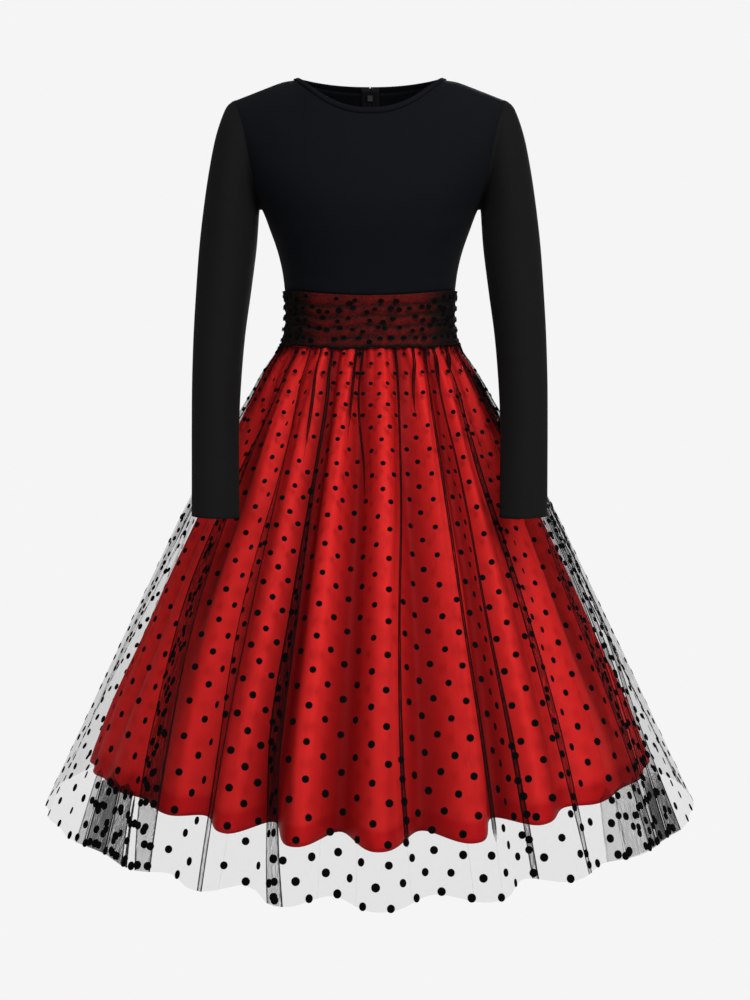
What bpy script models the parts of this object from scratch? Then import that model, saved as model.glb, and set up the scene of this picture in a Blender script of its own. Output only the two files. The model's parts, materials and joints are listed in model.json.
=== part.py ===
"""A-line dress: knit bodice with long sleeves, ruched waistband, satin skirt and dotted net overskirt.

Metres, +Z up. The front is -Y, and "right" is +X, as seen from the front. The origin lies midway
between the two high shoulder points, on the inner face of the shoulders.

Every panel is a wall of cloth. A surface function gives a point of its outer face from a place
across the cloth and a place along it, and the wall lies inward of that face.
"""

import math
from collections import namedtuple

import bmesh
import bpy
from mathutils import Matrix, Vector

# ---- Walls and seams ----
KNIT_WALL = 0.0016
SATIN_WALL = 0.0015
NET_WALL = 0.0012
TAPE_WALL = 0.0010
SEAM_GAP = 0.0004
LAYER_GAP = 0.0003

# ---- Neck and shoulders ----
HIGH_SHOULDER_Z = KNIT_WALL
NECK_HALF_WIDTH = 0.097
NECK_FRONT_DROP = 0.056
NECK_BACK_DROP = 0.005
NECK_ROUNDNESS = 2.3
BINDING_WIDTH = 0.0050
BINDING_PROUD = 0.0003
BINDING_STEPS = 44
BINDING_TURN_STEP = 1e-3
SHOULDER_TIP_X = 0.180
SHOULDER_SLOPE = 0.39
NECK_CROWN = 0.020
SHOULDER_ROUND = 0.080

# ---- Armholes ----
UNDERARM_Z = -0.176
ARMHOLE_FRONT_REACH = 0.052
ARMHOLE_BACK_REACH = 0.056
ARMHOLE_PIN = 6.0
SLEEVE_LEAD = 0.004
SLEEVE_BLEND_RINGS = 3.5

# ---- Waist ----
WAIST_TOP_Z = -0.2850
WAIST_BOTTOM_Z = -0.3590
WAIST_TOP_DIP_FRONT = 0.0100
WAIST_TOP_DIP_BACK = 0.0040
WAIST_BOTTOM_DIP_FRONT = 0.0040
WAIST_BOTTOM_DIP_BACK = 0.0020
BODY_SQUARENESS = 2.4
BAND_ROWS = [1.0, 0.5, 0.0]
BAND_STEP_DEGREES = 7.5
RUCHE_FOLDS = 5
ROWS_PER_RUCHE = 3
RUCHE_STEP_DEGREES = 6.0
RUCHE_HEIGHT = 0.0034
RUCHE_EDGE = 0.0022
RUCHE_EDGE_POWER = 4

# ---- Skirts ----
UNDER_HEM_Z = -0.9080
UNDER_FOLD_DIP = 0.0040
OVER_HEM_Z = -0.9630
OVER_FOLD_DIP = 0.0030
HEM_DIP_FRONT = 0.0260
HEM_DIP_BACK = 0.0200
HEM_DIP_POWER = 4
HEM_SQUARENESS = 2.0
SQUARENESS_FADE = 4
STEPS_PER_FOLD = 6
SKIRT_ROWS = 6
SKIRT_ROW_GROWTH = 1.3
COLUMN_CLEARANCE_DEGREES = 1.0
JUST_INSIDE = 1e-6
NORMAL_STEP = 1e-4
WELD_DISTANCE = 1e-6

# ---- Zip ----
ZIP_HALF_GAP = 0.0007
TAPE_INNER_X = 0.0026
TAPE_WIDTH = 0.0100
TAPE_DEPTH = 0.0022
TAPE_TOP_DROP = 0.0010
CHAIN_HALF_WIDTH = 0.0022
CHAIN_WALL = 0.0020
ZIP_END_ROW = 2
ZIP_FLAT_Z = -0.505
ZIP_FLAT_FADE = 0.04
ZIP_FLAT_HALF_WIDTH = 0.014
SLIDER_Z = -0.0140
SLIDER_LENGTH = 0.0080
SLIDER_CORE_DEPTH = 0.0036
SLIDER_BODY_DEPTH = 0.0060
SLIDER_BODY_HALF_WIDTH = 0.0034
SLIDER_NECK_HALF_WIDTH = 0.0004
SLIDER_NECK_LENGTH = 0.0040
SLIDER_PLATE_TOP = 0.0014
SLIDER_PLATE_SHARE = 0.8
SLIDER_JOIN = 0.0002
SLIDER_HALF_WIDTH = 0.0021
EAR_WALL = 0.0006
PIN_HEIGHT = 0.0035
PIN_RADIUS = 0.0005
PIN_SIDES = 12
EYE_HOLE_RADIUS = 0.0009
EYE_RADIUS = 0.0017
EYE_HALF_WIDTH = 0.0012
EYE_SIDES = 16
TAB_LENGTH = 0.0220
TAB_HALF_WIDTH = 0.0030
TAB_NECK_HALF_WIDTH = 0.0011
TAB_WALL = 0.0010
TAB_NECK_LAP = 0.0003
TAB_ARC_STEP = 20
TAB_ARC_FIRST = -80
TAB_ARC_LAST = 260
TAB_REST_CLEARANCE = 0.0010
TAB_REST_SHARE = 0.9

BodyRow = namedtuple("BodyRow", "z half_width front back")
BODY = [
    BodyRow(0.022, 0.190, 0.072, 0.076),
    BodyRow(-0.031, 0.190, 0.085, 0.084),
    BodyRow(-0.060, 0.189, 0.093, 0.091),
    BodyRow(-0.105, 0.178, 0.106, 0.097),
    BodyRow(-0.150, 0.160, 0.114, 0.097),
    BodyRow(-0.176, 0.1444, 0.115, 0.094),
    BodyRow(-0.204, 0.1335, 0.111, 0.090),
    BodyRow(-0.231, 0.1240, 0.104, 0.086),
    BodyRow(-0.258, 0.1175, 0.097, 0.083),
    BodyRow(-0.285, 0.1140, 0.092, 0.081),
    BodyRow(-0.305, 0.1122, 0.090, 0.080),
    BodyRow(-0.330, 0.1122, 0.090, 0.080),
    BodyRow(-0.362, 0.1175, 0.094, 0.084),
]

ArmholeRow = namedtuple("ArmholeRow", "z x")
ARMHOLE = [
    ArmholeRow(-0.031, 0.1800),
    ArmholeRow(-0.070, 0.1667),
    ArmholeRow(-0.109, 0.1588),
    ArmholeRow(-0.145, 0.1520),
    ArmholeRow(-0.176, 0.1444),
]

# Each ring of the sleeve runs through an outer and an inner point, and reaches forward and back.
SleeveRing = namedtuple("SleeveRing", "outer_x outer_z inner_x inner_z centre_y reach")
SLEEVE = [
    SleeveRing(0.1840, -0.0325, 0.1484, -0.1760, 0.000, 0.053),
    SleeveRing(0.1935, -0.0430, 0.1486, -0.1780, 0.000, 0.057),
    SleeveRing(0.2050, -0.0760, 0.1488, -0.1815, -0.002, 0.060),
    SleeveRing(0.2135, -0.1180, 0.1490, -0.1880, -0.005, 0.061),
    SleeveRing(0.2205, -0.1680, 0.1492, -0.1990, -0.012, 0.060),
    SleeveRing(0.2260, -0.2250, 0.1510, -0.2330, -0.025, 0.056),
    SleeveRing(0.2285, -0.2850, 0.1565, -0.2880, -0.046, 0.051),
    SleeveRing(0.2295, -0.3450, 0.1625, -0.3460, -0.072, 0.047),
    SleeveRing(0.2285, -0.4050, 0.1655, -0.4060, -0.102, 0.044),
    SleeveRing(0.2255, -0.4600, 0.1655, -0.4610, -0.137, 0.040),
    SleeveRing(0.2215, -0.5150, 0.1625, -0.5170, -0.177, 0.036),
    SleeveRing(0.2170, -0.5700, 0.1585, -0.5720, -0.222, 0.032),
]

SkirtRow = namedtuple("SkirtRow", "z half_width front back fold")
UNDER = [
    SkirtRow(-0.3625, 0.1175, 0.0940, 0.0840, 0.0012),
    SkirtRow(-0.3900, 0.1325, 0.1150, 0.1040, 0.0030),
    SkirtRow(-0.4300, 0.1500, 0.1410, 0.1280, 0.0055),
    SkirtRow(-0.5000, 0.1800, 0.1860, 0.1690, 0.0090),
    SkirtRow(-0.5800, 0.2130, 0.2330, 0.2130, 0.0130),
    SkirtRow(-0.6600, 0.2490, 0.2740, 0.2520, 0.0165),
    SkirtRow(-0.7500, 0.2860, 0.3110, 0.2870, 0.0205),
    SkirtRow(-0.8400, 0.3250, 0.3400, 0.3150, 0.0240),
    SkirtRow(-0.9350, 0.3560, 0.3620, 0.3370, 0.0280),
]
OVER = [
    SkirtRow(-0.3625, 0.1211, 0.0976, 0.0876, 0.0013),
    SkirtRow(-0.3930, 0.1445, 0.1240, 0.1120, 0.0028),
    SkirtRow(-0.4300, 0.1635, 0.1520, 0.1380, 0.0040),
    SkirtRow(-0.5000, 0.1995, 0.2030, 0.1850, 0.0062),
    SkirtRow(-0.5800, 0.2410, 0.2540, 0.2330, 0.0085),
    SkirtRow(-0.6600, 0.2780, 0.2990, 0.2760, 0.0105),
    SkirtRow(-0.7500, 0.3190, 0.3430, 0.3180, 0.0130),
    SkirtRow(-0.8400, 0.3590, 0.3780, 0.3520, 0.0150),
    SkirtRow(-0.9200, 0.3950, 0.4020, 0.3760, 0.0170),
    SkirtRow(-0.9900, 0.4280, 0.4200, 0.3920, 0.0185),
]

# One row for each fold that falls from the waist: where its ridge stands, and how far it reaches.
Fold = namedtuple("Fold", "degrees reach")
FOLDS = [
    Fold(-168, 0.95),
    Fold(-154, 1.05),
    Fold(-141, 0.90),
    Fold(-126, 1.00),
    Fold(-112, 0.92),
    Fold(-98, 0.85),
    Fold(-82, 1.05),
    Fold(-71, 1.00),
    Fold(-58, 1.05),
    Fold(-40, 1.10),
    Fold(-26.5, 0.95),
    Fold(-13.2, 1.00),
    Fold(1.6, 1.10),
    Fold(18.8, 1.10),
    Fold(33, 0.95),
    Fold(48.8, 1.10),
    Fold(66, 1.00),
    Fold(82, 0.85),
    Fold(98, 0.85),
    Fold(111, 0.95),
    Fold(127, 1.05),
    Fold(140, 0.90),
    Fold(155, 1.05),
    Fold(168, 0.95),
]

Panel = namedtuple("Panel", "name start end")
PANELS = [
    Panel("front", -90.0, 90.0),
    Panel("back_right", 90.0, 180.0),
    Panel("back_left", -180.0, -90.0),
]

RucheWave = namedtuple("RucheWave", "turns phase swing")
RUCHE_WAVES = [
    RucheWave(3, 0.4, 0.9),
    RucheWave(7, 1.9, 0.6),
    RucheWave(13, 0.8, 0.35),
]

# The binding's cross-section: up towards the finished edge, and out from the neck's surface.
BindingCorner = namedtuple("BindingCorner", "up out")
BINDING_CORNERS = [
    BindingCorner(-1.0, 0.8),
    BindingCorner(0.5, 1.0),
    BindingCorner(1.0, 0.5),
    BindingCorner(1.0, -0.5),
    BindingCorner(0.5, -1.0),
    BindingCorner(-1.0, -0.8),
]


# ---- Reading the tables ----

def column_at(rows, name, z):
    """A column of the table at height z, on a smooth curve through its rows, which run downward."""
    heights = [row.z for row in rows]
    values = [getattr(row, name) for row in rows]
    last = len(rows) - 1
    if z >= heights[0]:
        return values[0]
    if z <= heights[last]:
        return values[last]
    lower = next(i for i in range(1, last + 1) if heights[i] <= z)
    upper = lower - 1

    def slope(i):
        before = max(i - 1, 0)
        after = min(i + 1, last)
        return (values[after] - values[before]) / (heights[after] - heights[before])

    span = heights[lower] - heights[upper]
    t = (z - heights[upper]) / span
    return (
        (2 * t**3 - 3 * t**2 + 1) * values[upper]
        + (t**3 - 2 * t**2 + t) * span * slope(upper)
        + (3 * t**2 - 2 * t**3) * values[lower]
        + (t**3 - t**2) * span * slope(lower)
    )


def mix(first, second, share):
    return first + (second - first) * share


def smooth_step(share):
    held = min(max(share, 0.0), 1.0)
    return held * held * (3 - 2 * held)


# ---- The body that the bodice and waistband follow ----

def shoulder_z(x):
    """The line of the shoulder seam, crowned over the neck opening."""
    reach = abs(x)
    if reach <= NECK_HALF_WIDTH:
        return HIGH_SHOULDER_Z + NECK_CROWN * (1 - (reach / NECK_HALF_WIDTH) ** 2)
    return HIGH_SHOULDER_Z - SHOULDER_SLOPE * (reach - NECK_HALF_WIDTH)


def body_depth(x, z, face):
    """How far the outer face stands from the plane of the side seams."""
    ratio = min(abs(x) / column_at(BODY, "half_width", z), 1.0)
    below = min(max((shoulder_z(x) - z) / SHOULDER_ROUND, 0.0), 1.0)
    rounding = math.sqrt(1 - (1 - below) ** 2)
    return column_at(BODY, face, z) * math.sqrt(1 - ratio**BODY_SQUARENESS) * rounding


def neck_point(angle, inset):
    """A point round the neck, angle 0 at the front centre, inset outward from the finished edge."""
    across = math.sin(angle)
    half_width = NECK_HALF_WIDTH + inset
    in_front = math.cos(angle) > 0
    drop = (NECK_FRONT_DROP if in_front else NECK_BACK_DROP) + inset
    x = half_width * across
    z = shoulder_z(half_width) - drop * (1 - abs(across) ** NECK_ROUNDNESS)
    depth = body_depth(x, z, "front" if in_front else "back")
    return Vector((x, -depth if in_front else depth, z))


def waist_z(angle, side_z, front_dip, back_dip):
    dip = front_dip if math.cos(angle) > 0 else back_dip
    return side_z - dip * math.cos(angle) ** 2


def waist_top(angle):
    return waist_z(angle, WAIST_TOP_Z, WAIST_TOP_DIP_FRONT, WAIST_TOP_DIP_BACK)


def waist_bottom(angle):
    return waist_z(angle, WAIST_BOTTOM_Z, WAIST_BOTTOM_DIP_FRONT, WAIST_BOTTOM_DIP_BACK)


def clear_of_seams(angle, half_width, depth):
    """Front and back stand half a seam gap from the side seams, and the back clears the zip."""
    across = math.sin(angle)
    if math.cos(angle) > 0:
        return half_width * across, -depth - SEAM_GAP / 2
    side = math.copysign(1.0, across)
    return side * (ZIP_HALF_GAP + (half_width - ZIP_HALF_GAP) * abs(across)), depth + SEAM_GAP / 2


def band_point(angle, down):
    """Outer face of the satin waistband: down runs from 0 at its top seam to 1 at its bottom seam."""
    z = mix(waist_top(angle) - SEAM_GAP / 2, waist_bottom(angle) + SEAM_GAP / 2, down)
    half_width = column_at(BODY, "half_width", z)
    face = "front" if math.cos(angle) > 0 else "back"
    x, y = clear_of_seams(angle, half_width, body_depth(half_width * math.sin(angle), z, face))
    return Vector((x, y, z))


# ---- Bodice ----

def armhole_edge(down):
    """The edge of a bodice panel: x, its share of the armhole's reach, and z."""
    tip_z = shoulder_z(SHOULDER_TIP_X)
    z = mix(tip_z, WAIST_TOP_Z + SEAM_GAP / 2, down)
    if z < UNDERARM_Z:
        return column_at(BODY, "half_width", z), 0.0, z
    cosine = 1 - 2 * (tip_z - z) / (tip_z - UNDERARM_Z)
    return column_at(ARMHOLE, "x", z), math.sqrt(max(1 - cosine**2, 0.0)), z


def bodice_point(top, down, in_front):
    """top is the column's place along the top edge: 0 at the centre, 1 at HPS, 2 at the shoulder tip."""
    side = math.copysign(1.0, top)
    place = abs(top)
    inset = BINDING_WIDTH + SEAM_GAP
    if place <= 1:
        angle = place * math.pi / 2
        edge = neck_point(angle if in_front else math.pi - angle, inset)
        top_x, top_z = edge.x, edge.z
    else:
        top_x = mix(NECK_HALF_WIDTH + inset, SHOULDER_TIP_X, place - 1)
        top_z = shoulder_z(top_x)
    edge_x, edge_share, edge_z = armhole_edge(down)
    x = top_x * edge_x / SHOULDER_TIP_X
    turn = math.asin(min(top_x / SHOULDER_TIP_X, 1.0))
    bottom_z = waist_top(turn if in_front else math.pi - turn) + SEAM_GAP / 2
    z = mix(top_z, bottom_z, down)
    reach = ARMHOLE_FRONT_REACH if in_front else ARMHOLE_BACK_REACH
    face = "front" if in_front else "back"
    correction = reach * edge_share - body_depth(edge_x, edge_z, face)
    depth = body_depth(x, z, face) + correction * (top_x / SHOULDER_TIP_X) ** ARMHOLE_PIN + SEAM_GAP / 2
    if in_front:
        return Vector((side * x, -depth, z))
    return Vector((side * (ZIP_HALF_GAP + x * (edge_x - ZIP_HALF_GAP) / edge_x), depth, z))


ARMHOLE_STEPS = 10
NECK_STEPS = 7
SHOULDER_STEPS = 4
SIDE_STEPS = 3


def bodice_rows():
    """Places down a bodice panel, from the waist up, so that its armhole meets the sleeve's points."""
    tip_z = shoulder_z(SHOULDER_TIP_X)
    length = tip_z - (WAIST_TOP_Z + SEAM_GAP / 2)
    armhole = [
        (1 - math.cos(math.pi * step / ARMHOLE_STEPS)) / 2 * (tip_z - UNDERARM_Z) / length
        for step in range(ARMHOLE_STEPS + 1)
    ]
    side = [mix(armhole[-1], 1.0, step / SIDE_STEPS) for step in range(1, SIDE_STEPS + 1)]
    return list(reversed(armhole + side))


def bodice_tops():
    """Places along the top of half a bodice panel, from the centre to the shoulder tip."""
    neck = [step / NECK_STEPS for step in range(NECK_STEPS + 1)]
    shoulder = [1 + math.sin(math.pi / 2 * step / SHOULDER_STEPS) for step in range(1, SHOULDER_STEPS + 1)]
    return neck + shoulder


# ---- Sleeves ----

def armhole_point(angle):
    """A point of the right armhole: angle 0 at the shoulder tip, a quarter turn to the front."""
    tip_z = shoulder_z(SHOULDER_TIP_X)
    z = mix(tip_z, UNDERARM_Z, (1 - math.cos(angle)) / 2)
    reach = ARMHOLE_FRONT_REACH if math.sin(angle) > 0 else ARMHOLE_BACK_REACH
    return Vector((column_at(ARMHOLE, "x", z), -reach * math.sin(angle), z))


def sleeve_ring(angle, ring):
    """A point of the plain ring at a place along the sleeve, read smoothly between the rows."""
    last = len(SLEEVE) - 1
    index = min(int(ring), last - 1)
    share = ring - index

    def value(name, row):
        return getattr(SLEEVE[min(max(row, 0), last)], name)

    def smooth(name):
        start, end = value(name, index), value(name, index + 1)
        lead = (end - value(name, index - 1)) / 2
        follow = (value(name, index + 2) - start) / 2
        return (
            (2 * share**3 - 3 * share**2 + 1) * start
            + (share**3 - 2 * share**2 + share) * lead
            + (3 * share**2 - 2 * share**3) * end
            + (share**3 - share**2) * follow
        )

    outer = Vector((smooth("outer_x"), smooth("centre_y"), smooth("outer_z")))
    inner = Vector((smooth("inner_x"), smooth("centre_y"), smooth("inner_z")))
    forward = Vector((0, -smooth("reach"), 0))
    return (outer + inner) / 2 + (outer - inner) / 2 * math.cos(angle) + forward * math.sin(angle)


def sleeve_point(angle, ring):
    """Outer face of the right sleeve: ring -1 at the armhole seam, 0 just past it, then the table's rows."""
    lead = Vector((1, 0, -SHOULDER_SLOPE * max(math.cos(angle), 0))).normalized()
    seam = armhole_point(angle)
    if ring <= 0:
        return seam + lead * mix(SEAM_GAP, SLEEVE_LEAD, ring + 1)
    held = max(1 - ring / SLEEVE_BLEND_RINGS, 0.0) ** 2
    return sleeve_ring(angle, ring) + (seam + lead * SLEEVE_LEAD - sleeve_ring(angle, 0)) * held


# ---- Skirts ----

def fold_wave(angle):
    """1 on a fold's ridge and -1 in the trough beside it, scaled by the fold's own reach."""
    degrees = math.degrees(angle)
    turned = FOLDS[-1:] + FOLDS + FOLDS[:1]
    starts = [FOLDS[-1].degrees - 360] + [fold.degrees for fold in FOLDS] + [FOLDS[0].degrees + 360]
    index = next(i for i in range(1, len(starts)) if degrees <= starts[i])
    share = (degrees - starts[index - 1]) / (starts[index] - starts[index - 1])
    return mix(turned[index - 1].reach, turned[index].reach, share) * math.cos(2 * math.pi * share)


def zip_flatness(x, z, in_front):
    """1 where the zip holds the back flat, fading to 0 below its end and to either side."""
    if in_front:
        return 0.0
    above_end = smooth_step((z - (ZIP_FLAT_Z - ZIP_FLAT_FADE)) / ZIP_FLAT_FADE)
    return above_end * (1 - smooth_step((abs(x) - ZIP_FLAT_HALF_WIDTH) / ZIP_FLAT_FADE))


def skirt_point(rows, hem, angle, down):
    """Outer face of a skirt: down runs from 0 at the waist seam to 1 at the hem."""
    z = mix(waist_bottom(angle) - SEAM_GAP / 2, hem(angle), down)
    half_width = column_at(rows, "half_width", z)
    in_front = math.cos(angle) > 0
    depth = column_at(rows, "front" if in_front else "back", z)
    squareness = mix(BODY_SQUARENESS, HEM_SQUARENESS, min(down * SQUARENESS_FADE, 1.0))
    across = abs(math.sin(angle))
    x, y = clear_of_seams(angle, half_width, depth * math.sqrt(max(1 - across**squareness, 0.0)))
    outward = Vector((depth * math.sin(angle), -half_width * math.cos(angle), 0)).normalized()
    fold = column_at(rows, "fold", z) * fold_wave(angle)
    return Vector((x, y, z)) + outward * fold * (1 - zip_flatness(x, z, in_front))


def hem_z(angle, side_z, fold_dip):
    """The hem hangs lowest at the centre of the front and back, and a little lower on each ridge."""
    dip = HEM_DIP_FRONT if math.cos(angle) > 0 else HEM_DIP_BACK
    return side_z - dip * math.cos(angle) ** HEM_DIP_POWER - fold_dip * fold_wave(angle)


def under_hem(angle):
    return hem_z(angle, UNDER_HEM_Z, UNDER_FOLD_DIP)


def over_hem(angle):
    return hem_z(angle, OVER_HEM_Z, OVER_FOLD_DIP)


def underskirt_point(angle, down):
    return skirt_point(UNDER, under_hem, angle, down)


def overskirt_point(angle, down):
    return skirt_point(OVER, over_hem, angle, down)


def fold_angles(start, end):
    """Columns across a skirt panel: evenly over each fold, between two side or centre seams."""
    places = []
    starts = [fold.degrees for fold in FOLDS] + [FOLDS[0].degrees + 360]
    for before, after in zip(starts, starts[1:]):
        places += [mix(before, after, step / STEPS_PER_FOLD) for step in range(STEPS_PER_FOLD)]
    places = [place - 360 if place > 180 else place for place in places]
    first, last = start + COLUMN_CLEARANCE_DEGREES, end - COLUMN_CLEARANCE_DEGREES
    inside = sorted(place for place in places if first < place < last)
    return [math.radians(place) for place in [start, *inside, end]]


# ---- Walls of cloth ----

def outward_normal(surface, across, along, across_range, along_range):
    """The surface's normal, with each difference taken inside the panel."""
    step_across = (across_range[1] - across_range[0]) * NORMAL_STEP
    step_along = (along_range[1] - along_range[0]) * NORMAL_STEP
    left = surface(max(across - step_across, across_range[0]), along)
    right = surface(min(across + step_across, across_range[1]), along)
    low = surface(across, max(along - step_along, along_range[0]))
    high = surface(across, min(along + step_along, along_range[1]))
    return (right - left).cross(high - low).normalized()


def cloth(name, surface, across, along, wall, material, depth=0.0, is_tube=False):
    """A panel: a grid laid on the surface, depth inward of it, and extruded inward by the wall.

    The surface takes a place across and a place along. Across, the places rise to the right as the
    outside is seen, and along they may run either way.
    """
    across_range = (across[0], across[-1])
    along_range = (min(along), max(along))
    upward = 1.0 if along[-1] > along[0] else -1.0
    columns = len(across)
    outer, inner = [], []
    for place in along:
        for start in across:
            point = surface(start, place)
            normal = outward_normal(surface, start, place, across_range, along_range) * upward
            outer.append(point - normal * depth)
            inner.append(point - normal * (depth + wall))

    mesh = bpy.data.meshes.new(name)
    bm = bmesh.new()
    number = bm.verts.layers.int.new("number")
    bmesh.ops.create_grid(bm, x_segments=columns - 1, y_segments=len(along) - 1, size=1)
    for vertex in bm.verts:
        column = round((vertex.co.x + 1) / 2 * (columns - 1))
        row = round((vertex.co.y + 1) / 2 * (len(along) - 1))
        vertex[number] = row * columns + column
        vertex.co = outer[vertex[number]]
    if is_tube:
        bmesh.ops.remove_doubles(bm, verts=bm.verts[:], dist=WELD_DISTANCE)
    grown = bmesh.ops.extrude_face_region(bm, geom=bm.faces[:], use_keep_orig=True)["geom"]
    for vertex in (item for item in grown if isinstance(item, bmesh.types.BMVert)):
        vertex.co = inner[vertex[number]]
    bmesh.ops.recalc_face_normals(bm, faces=bm.faces[:])
    bm.to_mesh(mesh)
    bm.free()
    mesh.shade_smooth()
    return place_piece(name, mesh, material)


def lofted(name, sections, material):
    """A solid through closed sections of the same count of points, with an end face on each end."""
    mesh = bpy.data.meshes.new(name)
    bm = bmesh.new()
    loops = [[bm.verts.new(point) for point in section] for section in sections]
    for before, after in zip(loops, loops[1:]):
        count = len(before)
        for i in range(count):
            following = (i + 1) % count
            bm.faces.new((before[i], before[following], after[following], after[i]))
    bm.faces.new(loops[0])
    bm.faces.new(reversed(loops[-1]))
    bmesh.ops.recalc_face_normals(bm, faces=bm.faces[:])
    bm.to_mesh(mesh)
    bm.free()
    return place_piece(name, mesh, material)


def place_piece(name, mesh, material):
    piece = bpy.data.objects.new(name, mesh)
    mesh.materials.append(material)
    PARTS.objects.link(piece)
    return piece


# ---- Materials ----

def cloth_material(name, colour, roughness, metallic=0.0):
    material = bpy.data.materials.new(name)
    material.use_nodes = True
    shader = material.node_tree.nodes["Principled BSDF"]
    shader.inputs["Base Color"].default_value = (*colour, 1.0)
    shader.inputs["Roughness"].default_value = roughness
    shader.inputs["Metallic"].default_value = metallic
    return material


# ---- The pieces ----

def make_bodice(knit):
    half = bodice_tops()
    rows = bodice_rows()
    full = [-top for top in reversed(half[1:])] + half
    cloth("bodice_front", lambda top, down: bodice_point(top, down, True), full, rows, KNIT_WALL, knit)
    cloth(
        "bodice_back_right",
        lambda top, down: bodice_point(2 - top, down, False),
        [2 - top for top in reversed(half)], rows, KNIT_WALL, knit,
    )
    cloth(
        "bodice_back_left",
        lambda top, down: mirrored(bodice_point(top, down, False)),
        half, rows, KNIT_WALL, knit,
    )


def mirrored(point):
    return Vector((-point.x, point.y, point.z))


def make_sleeves(knit):
    steps = 2 * ARMHOLE_STEPS
    angles = [2 * math.pi * step / steps for step in range(steps + 1)]
    rings = list(range(-1, len(SLEEVE)))
    cloth("sleeve_right", sleeve_point, angles, rings, KNIT_WALL, knit, is_tube=True)
    cloth(
        "sleeve_left",
        lambda angle, ring: mirrored(sleeve_point(-angle, ring)),
        angles, rings, KNIT_WALL, knit, is_tube=True,
    )


def make_neck_binding(knit):
    """Bound edge: a strip folded over the neck, from the zip round the front and back to the zip."""
    end = math.pi - math.asin(ZIP_HALF_GAP / NECK_HALF_WIDTH)
    depth = KNIT_WALL + LAYER_GAP
    sections = []
    for step in range(BINDING_STEPS + 1):
        angle = mix(-end, end, step / BINDING_STEPS)
        finished = neck_point(angle, 0.0)
        seam = neck_point(angle, BINDING_WIDTH)
        before = neck_point(angle - BINDING_TURN_STEP, BINDING_WIDTH / 2)
        after = neck_point(angle + BINDING_TURN_STEP, BINDING_WIDTH / 2)
        outward = (finished - seam).cross(after - before).normalized()
        edge = (finished - seam).normalized()
        middle = (finished + seam) / 2 - outward * (depth - BINDING_PROUD) / 2
        half_height = (finished - seam).length / 2
        half_depth = (depth + BINDING_PROUD) / 2
        sections.append([
            middle + edge * half_height * corner.up + outward * half_depth * corner.out
            for corner in BINDING_CORNERS
        ])
    lofted("neck_binding", sections, knit)


def seam_angles(start, end, step_degrees):
    count = round((end - start) / step_degrees)
    return [math.radians(mix(start, end, step / count)) for step in range(count + 1)]


def panel_limits(panel):
    """Side seams are read on the panel's own side of the seam plane."""
    inward = math.degrees(JUST_INSIDE)
    return panel.start + inward, panel.end - inward


def make_waistband(satin, net):
    for panel in PANELS:
        first, last = panel_limits(panel)
        angles = seam_angles(first, last, BAND_STEP_DEGREES)
        cloth(f"waistband_satin_{panel.name}", band_point, angles, BAND_ROWS, SATIN_WALL, satin)
        places = seam_angles(first, last, RUCHE_STEP_DEGREES)
        lofted(f"waistband_net_{panel.name}", [ruche_section(place, first, last) for place in places], net)


def ruche_height(angle, down):
    """How far the ruched net stands off its flat underside."""
    shift = sum(wave.swing * math.sin(wave.turns * angle + wave.phase) for wave in RUCHE_WAVES)
    ridge = 0.5 + 0.5 * math.cos(2 * math.pi * RUCHE_FOLDS * (down - 0.5) + shift * math.sin(math.pi * down))
    edge = abs(2 * down - 1) ** RUCHE_EDGE_POWER
    return mix(RUCHE_HEIGHT * ridge, RUCHE_EDGE, edge)


def ruche_section(angle, first, last):
    """A closed section of the ruched band: its outer points rise over a flat underside."""
    rows = ROWS_PER_RUCHE * RUCHE_FOLDS
    limits = (math.radians(first), math.radians(last))
    outer = []
    for row in range(rows + 1):
        down = row / rows
        normal = outward_normal(band_point, angle, down, limits, (0.0, 1.0)) * -1
        lift = LAYER_GAP + NET_WALL + ruche_height(angle, down)
        outer.append(band_point(angle, down) + normal * lift)
    under = []
    for down in BAND_ROWS:
        normal = outward_normal(band_point, angle, down, limits, (0.0, 1.0)) * -1
        under.append(band_point(angle, down) + normal * LAYER_GAP)
    return outer + under


def skirt_rows():
    """Places down a skirt panel, from the hem up, closer together towards the waist."""
    return [(1 - step / SKIRT_ROWS) ** SKIRT_ROW_GROWTH for step in range(SKIRT_ROWS + 1)]


def make_skirts(satin, net):
    rows = skirt_rows()
    for panel in PANELS:
        angles = fold_angles(*panel_limits(panel))
        cloth(f"underskirt_{panel.name}", underskirt_point, angles, rows, SATIN_WALL, satin)
        cloth(f"overskirt_{panel.name}", overskirt_point, angles, rows, NET_WALL, net)


# ---- Zip ----

def back_centre_point(x, z):
    """The outer face of the back near the centre seam, at height z."""
    if z > waist_bottom(math.pi):
        return Vector((x, body_depth(x, z, "back") + SEAM_GAP / 2, z))
    side = math.copysign(1.0, x)
    angle = side * (math.pi - math.asin(abs(x) / column_at(UNDER, "half_width", z)))
    down = (waist_bottom(angle) - z) / (waist_bottom(angle) - under_hem(angle))
    point = underskirt_point(angle, max(down, 0.0))
    return Vector((x, point.y, z))


def zip_heights():
    """Heights of the back panels' own rows at the centre seam, from the zip's end up to its top."""
    skirt = [
        mix(waist_bottom(math.pi) - SEAM_GAP / 2, under_hem(math.pi), row)
        for row in skirt_rows()[-1 - ZIP_END_ROW:]
    ]
    band = [band_point(math.pi, row).z for row in BAND_ROWS]
    bodice = [bodice_point(0.0, row, False).z for row in bodice_rows()]
    return skirt + band + bodice


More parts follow.
